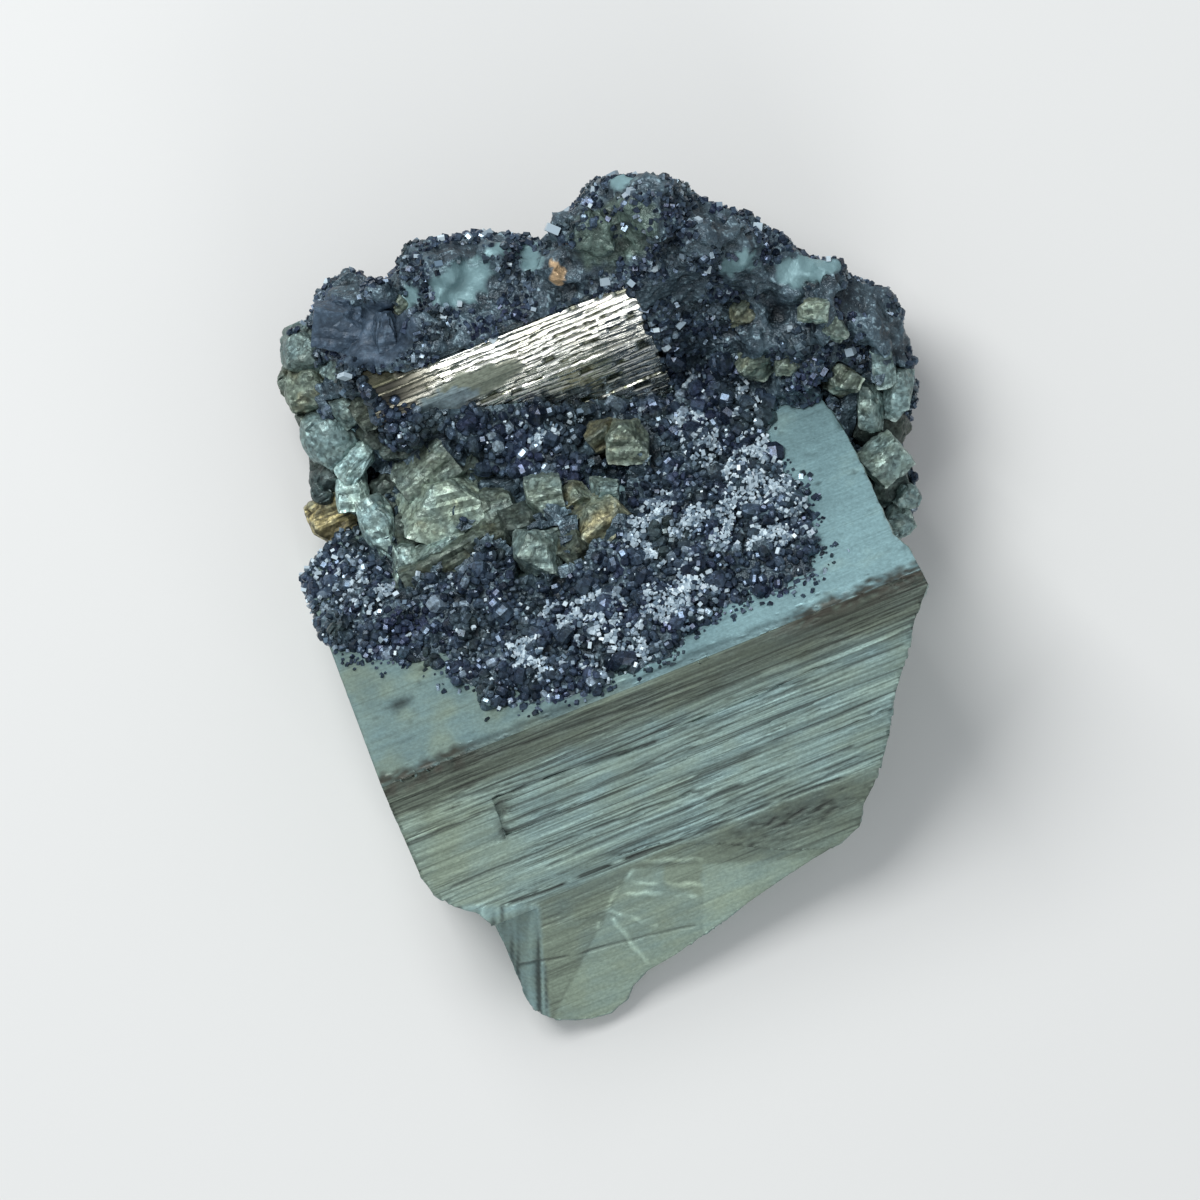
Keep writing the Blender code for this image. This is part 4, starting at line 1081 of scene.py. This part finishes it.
small_crystals("matrix_pyrites", seated(ROCK_PYRITES, 0.5), 14)
small_crystals("matrix_blocks", seated(DARK_BLOCKS, 1.1), 15, DARK_MATRIX, navy=0.8)

# The crust.
# A druse of small glossy dark cubes on the big crystal's smooth face and up against the second one, with
# pale sugary grains in patches between them. The crystals grow through each other, fast to the pyrite.
CRUST_VOXEL = 0.42
SKY_REACH = 3.0  # how high over the crust another piece still shades it
# Ovals, as in TEAL_PATCHES.
PALE_PATCHES = [
    (45, 11, 7, 5), (27, 3.5, 3.5, 2.6), (36, 13, 4.5, 4.0), (33, 6.5, 6, 3), (45, 21, 5.0, 6.5),
    (6, 19, 3, 2), (20, 3.5, 4, 2), (27, 27, 3, 2), (19, 7, 4, 2), (24, 8, 5, 3),
]


def druse_crust():
    """The crust's ground, and where dark cubes, large cubes and pale grains grow on it."""
    bm = remeshed(merged_copy("druse"), CRUST_VOXEL)
    bm.normal_update()
    dark, large, pale, moves = [], [], [], []
    for vert in bm.verts:
        u, w, z = vert.co
        lumps = noise.fractal(vert.co / 2.0, 0.9, 2.1, 3)
        is_up = vert.normal.z > -0.2
        is_bare = is_up and not is_blocked(vert.co - 0.05 * vert.normal, vert.normal, COVER_REACH, "druse")
        is_seen = is_bare or (is_up and not is_blocked(vert.co + 0.3 * vert.normal, UP, SKY_REACH, "druse"))
        beside = ramp(gap_to(vert.co, "centre_cluster"), 0.5, 1.6)
        move = vert.normal * ((0.55 * lumps - 0.35 - 0.7 * (1 - beside)) if is_bare else 0.25)
        over_face = (z + w - RIDGE_HEIGHT) * SLOPE
        moves.append(move - 0.5 * BACK * ramp(1.0 - over_face, 0.0, 0.4))
        patch = max(blob(u, w, zone) for zone in PALE_PATCHES)
        cloud = noise.noise(vert.co / 2.4 + Vector((4, 9, 2))) + 0.4 * noise.noise(vert.co / 0.8)
        patch *= ramp(cloud, 0.0, 0.15)
        dark.append(beside if is_seen else 0.0)
        behind = 0.25 + 0.75 * ramp(w + 0.2 * u, 27.0, 30.0)
        large.append(beside * behind * ramp(gap_to(vert.co, "second_cube"), 0.3, 1.5) if is_bare else 0.0)
        pale.append(min(1.0, 0.02 + 1.5 * patch) * beside if is_bare else 0.0)
    for vert, move in zip(bm.verts, moves):
        vert.co += move
    return plain_piece(bm, "druse_crust", DARK_MATRIX, {}), dark, large, pale


crust, dark_crop, large_crop, pale_crop = druse_crust()
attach(crust, "root")
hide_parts("druse")
grow_crystals(crust, "druse_cubes", dark_crop, STUBBY, (0.66, 0.4, 1.15), 0.1, 5)
grow_crystals(crust, "druse_large_cubes", large_crop, STUBBY, (1.9, 1.3, 2.3), 0.1, 9)
grow_crystals(crust, "druse_pale_grains", pale_crop, GRAIN, (0.26, 0.18, 0.45), 0.5, 6, PALE_CRYSTALS)

# Some crystals stray beyond the crust's edge, over the big crystal's left corner and the second one's ends.
to_crystal_axes = CRYSTAL_AXES.inverted()
stray, corner, ends = [], [], []
for vert in main_crystal.data.vertices:
    place = to_crystal_axes @ vert.co
    on_back = place.y > 0.3 and vert.normal.z > 0.5
    stray.append(0.7 * ramp(1.5 - gap_to(place, "druse"), 0.0, 1.4) ** 2 if on_back else 0.0)
    near_face = (place.z + place.y - RIDGE_HEIGHT) * SLOPE > -1.4
    edge = place.y - 14.6 + 0.6 * place.x + 0.8 * wavy(place.x, place.y, 73)
    corner.append(ramp(edge, 0.0, 0.8) * ramp(7.0 - place.x, 0.0, 1.0) if near_face else 0.0)
for vert in bright_crystal.data.vertices:
    u, w, z = to_crystal_axes @ vert.co
    at_left = ramp(17.6 - u + 0.8 * wavy(u, w, 71), 0.0, 0.6)
    covered = at_left * ramp(36.9 - 0.42 * (u - 12.8) + 0.6 * wavy(u, w, 72) - w, 0.0, 0.6)
    ends.append(max(covered, ramp(13.4 - u, 0.0, 0.3), 0.7 * ramp(u - 41.2, 0.0, 0.4)))
grow_crystals(main_crystal, "stray_grains", stray, GRAIN, (0.4, 0.15, 0.5), 0.05, 8)
grow_crystals(main_crystal, "corner_cubes", corner, STUBBY, (0.55, 0.45, 1.2), 0.12, 12)
# Pale grains over the left corner stand in for its sparkles: painted glints.
thin_crop = [0.35 * share for share in corner]
grow_crystals(main_crystal, "corner_pale_grains", thin_crop, GRAIN, (0.5, 0.2, 0.45), 0.55, 13, PALE_CRYSTALS)
grow_crystals(bright_crystal, "end_cubes", ends, STUBBY, (0.55, 0.45, 1.25), 0.05, 10)

# Floor, lights and camera.
# A plain pale floor, a soft overcast studio, and a camera that looks straight down at the specimen.
FLOOR_HALF = 1.2
FLOOR_LEVEL = -0.0001  # a hair under the specimen's base
CAMERA_PLACE = (0.00037, 0.0, 1.02)


def studio_floor():
    bm = bmesh.new()
    corners = [(-1, -1), (1, -1), (1, 1), (-1, 1)]
    bm.faces.new([bm.verts.new((x * FLOOR_HALF, y * FLOOR_HALF, FLOOR_LEVEL)) for x, y in corners])
    mesh = bpy.data.meshes.new("floor")
    bm.to_mesh(mesh)
    bm.free()
    material, tree = new_finish("pale_floor")
    inputs = {"Base Color": (0.72, 0.71, 0.69, 1), "Roughness": 0.75}
    set_inputs(tree, tree.nodes["Principled BSDF"], inputs)
    mesh.materials.append(material)
    floor = bpy.data.objects.new("floor", mesh)
    bpy.context.scene.collection.objects.link(floor)
    return floor


studio_floor()


def soft_light(name, place, aim, size, watts, colour=(1, 1, 1)):
    lamp = bpy.data.lights.new(name, "AREA")
    lamp.shape = "RECTANGLE"
    lamp.size, lamp.size_y = size
    lamp.energy = watts
    lamp.color = colour
    light = bpy.data.objects.new(name, lamp)
    light.location = place
    light.rotation_euler = (Vector(aim) - Vector(place)).to_track_quat("-Z", "Y").to_euler()
    bpy.context.scene.collection.objects.link(light)


LOOK_AT = (0, 0, 0.02)
soft_light("overhead", (-0.25, 0.3, 0.55), LOOK_AT, (0.35, 0.35), 4.0, (0.97, 0.99, 1.0))
soft_light("glint", (0.165, -0.40, 0.227), (-0.006, 0.023, 0.024), (0.26, 0.16), 0.55)

world = bpy.data.worlds.new("studio")
world.use_nodes = True
sky = world.node_tree
set_inputs(sky, sky.nodes["Background"], {"Color": (0.86, 0.93, 1.0, 1), "Strength": 0.45})
bpy.context.scene.world = world

camera_data = bpy.data.cameras.new("camera")
camera_data.sensor_width = 36
camera_data.lens = 300
camera = bpy.data.objects.new("camera", camera_data)
camera.location = CAMERA_PLACE
bpy.context.scene.collection.objects.link(camera)
bpy.context.scene.camera = camera
bpy.context.scene.view_settings.view_transform = "Standard"
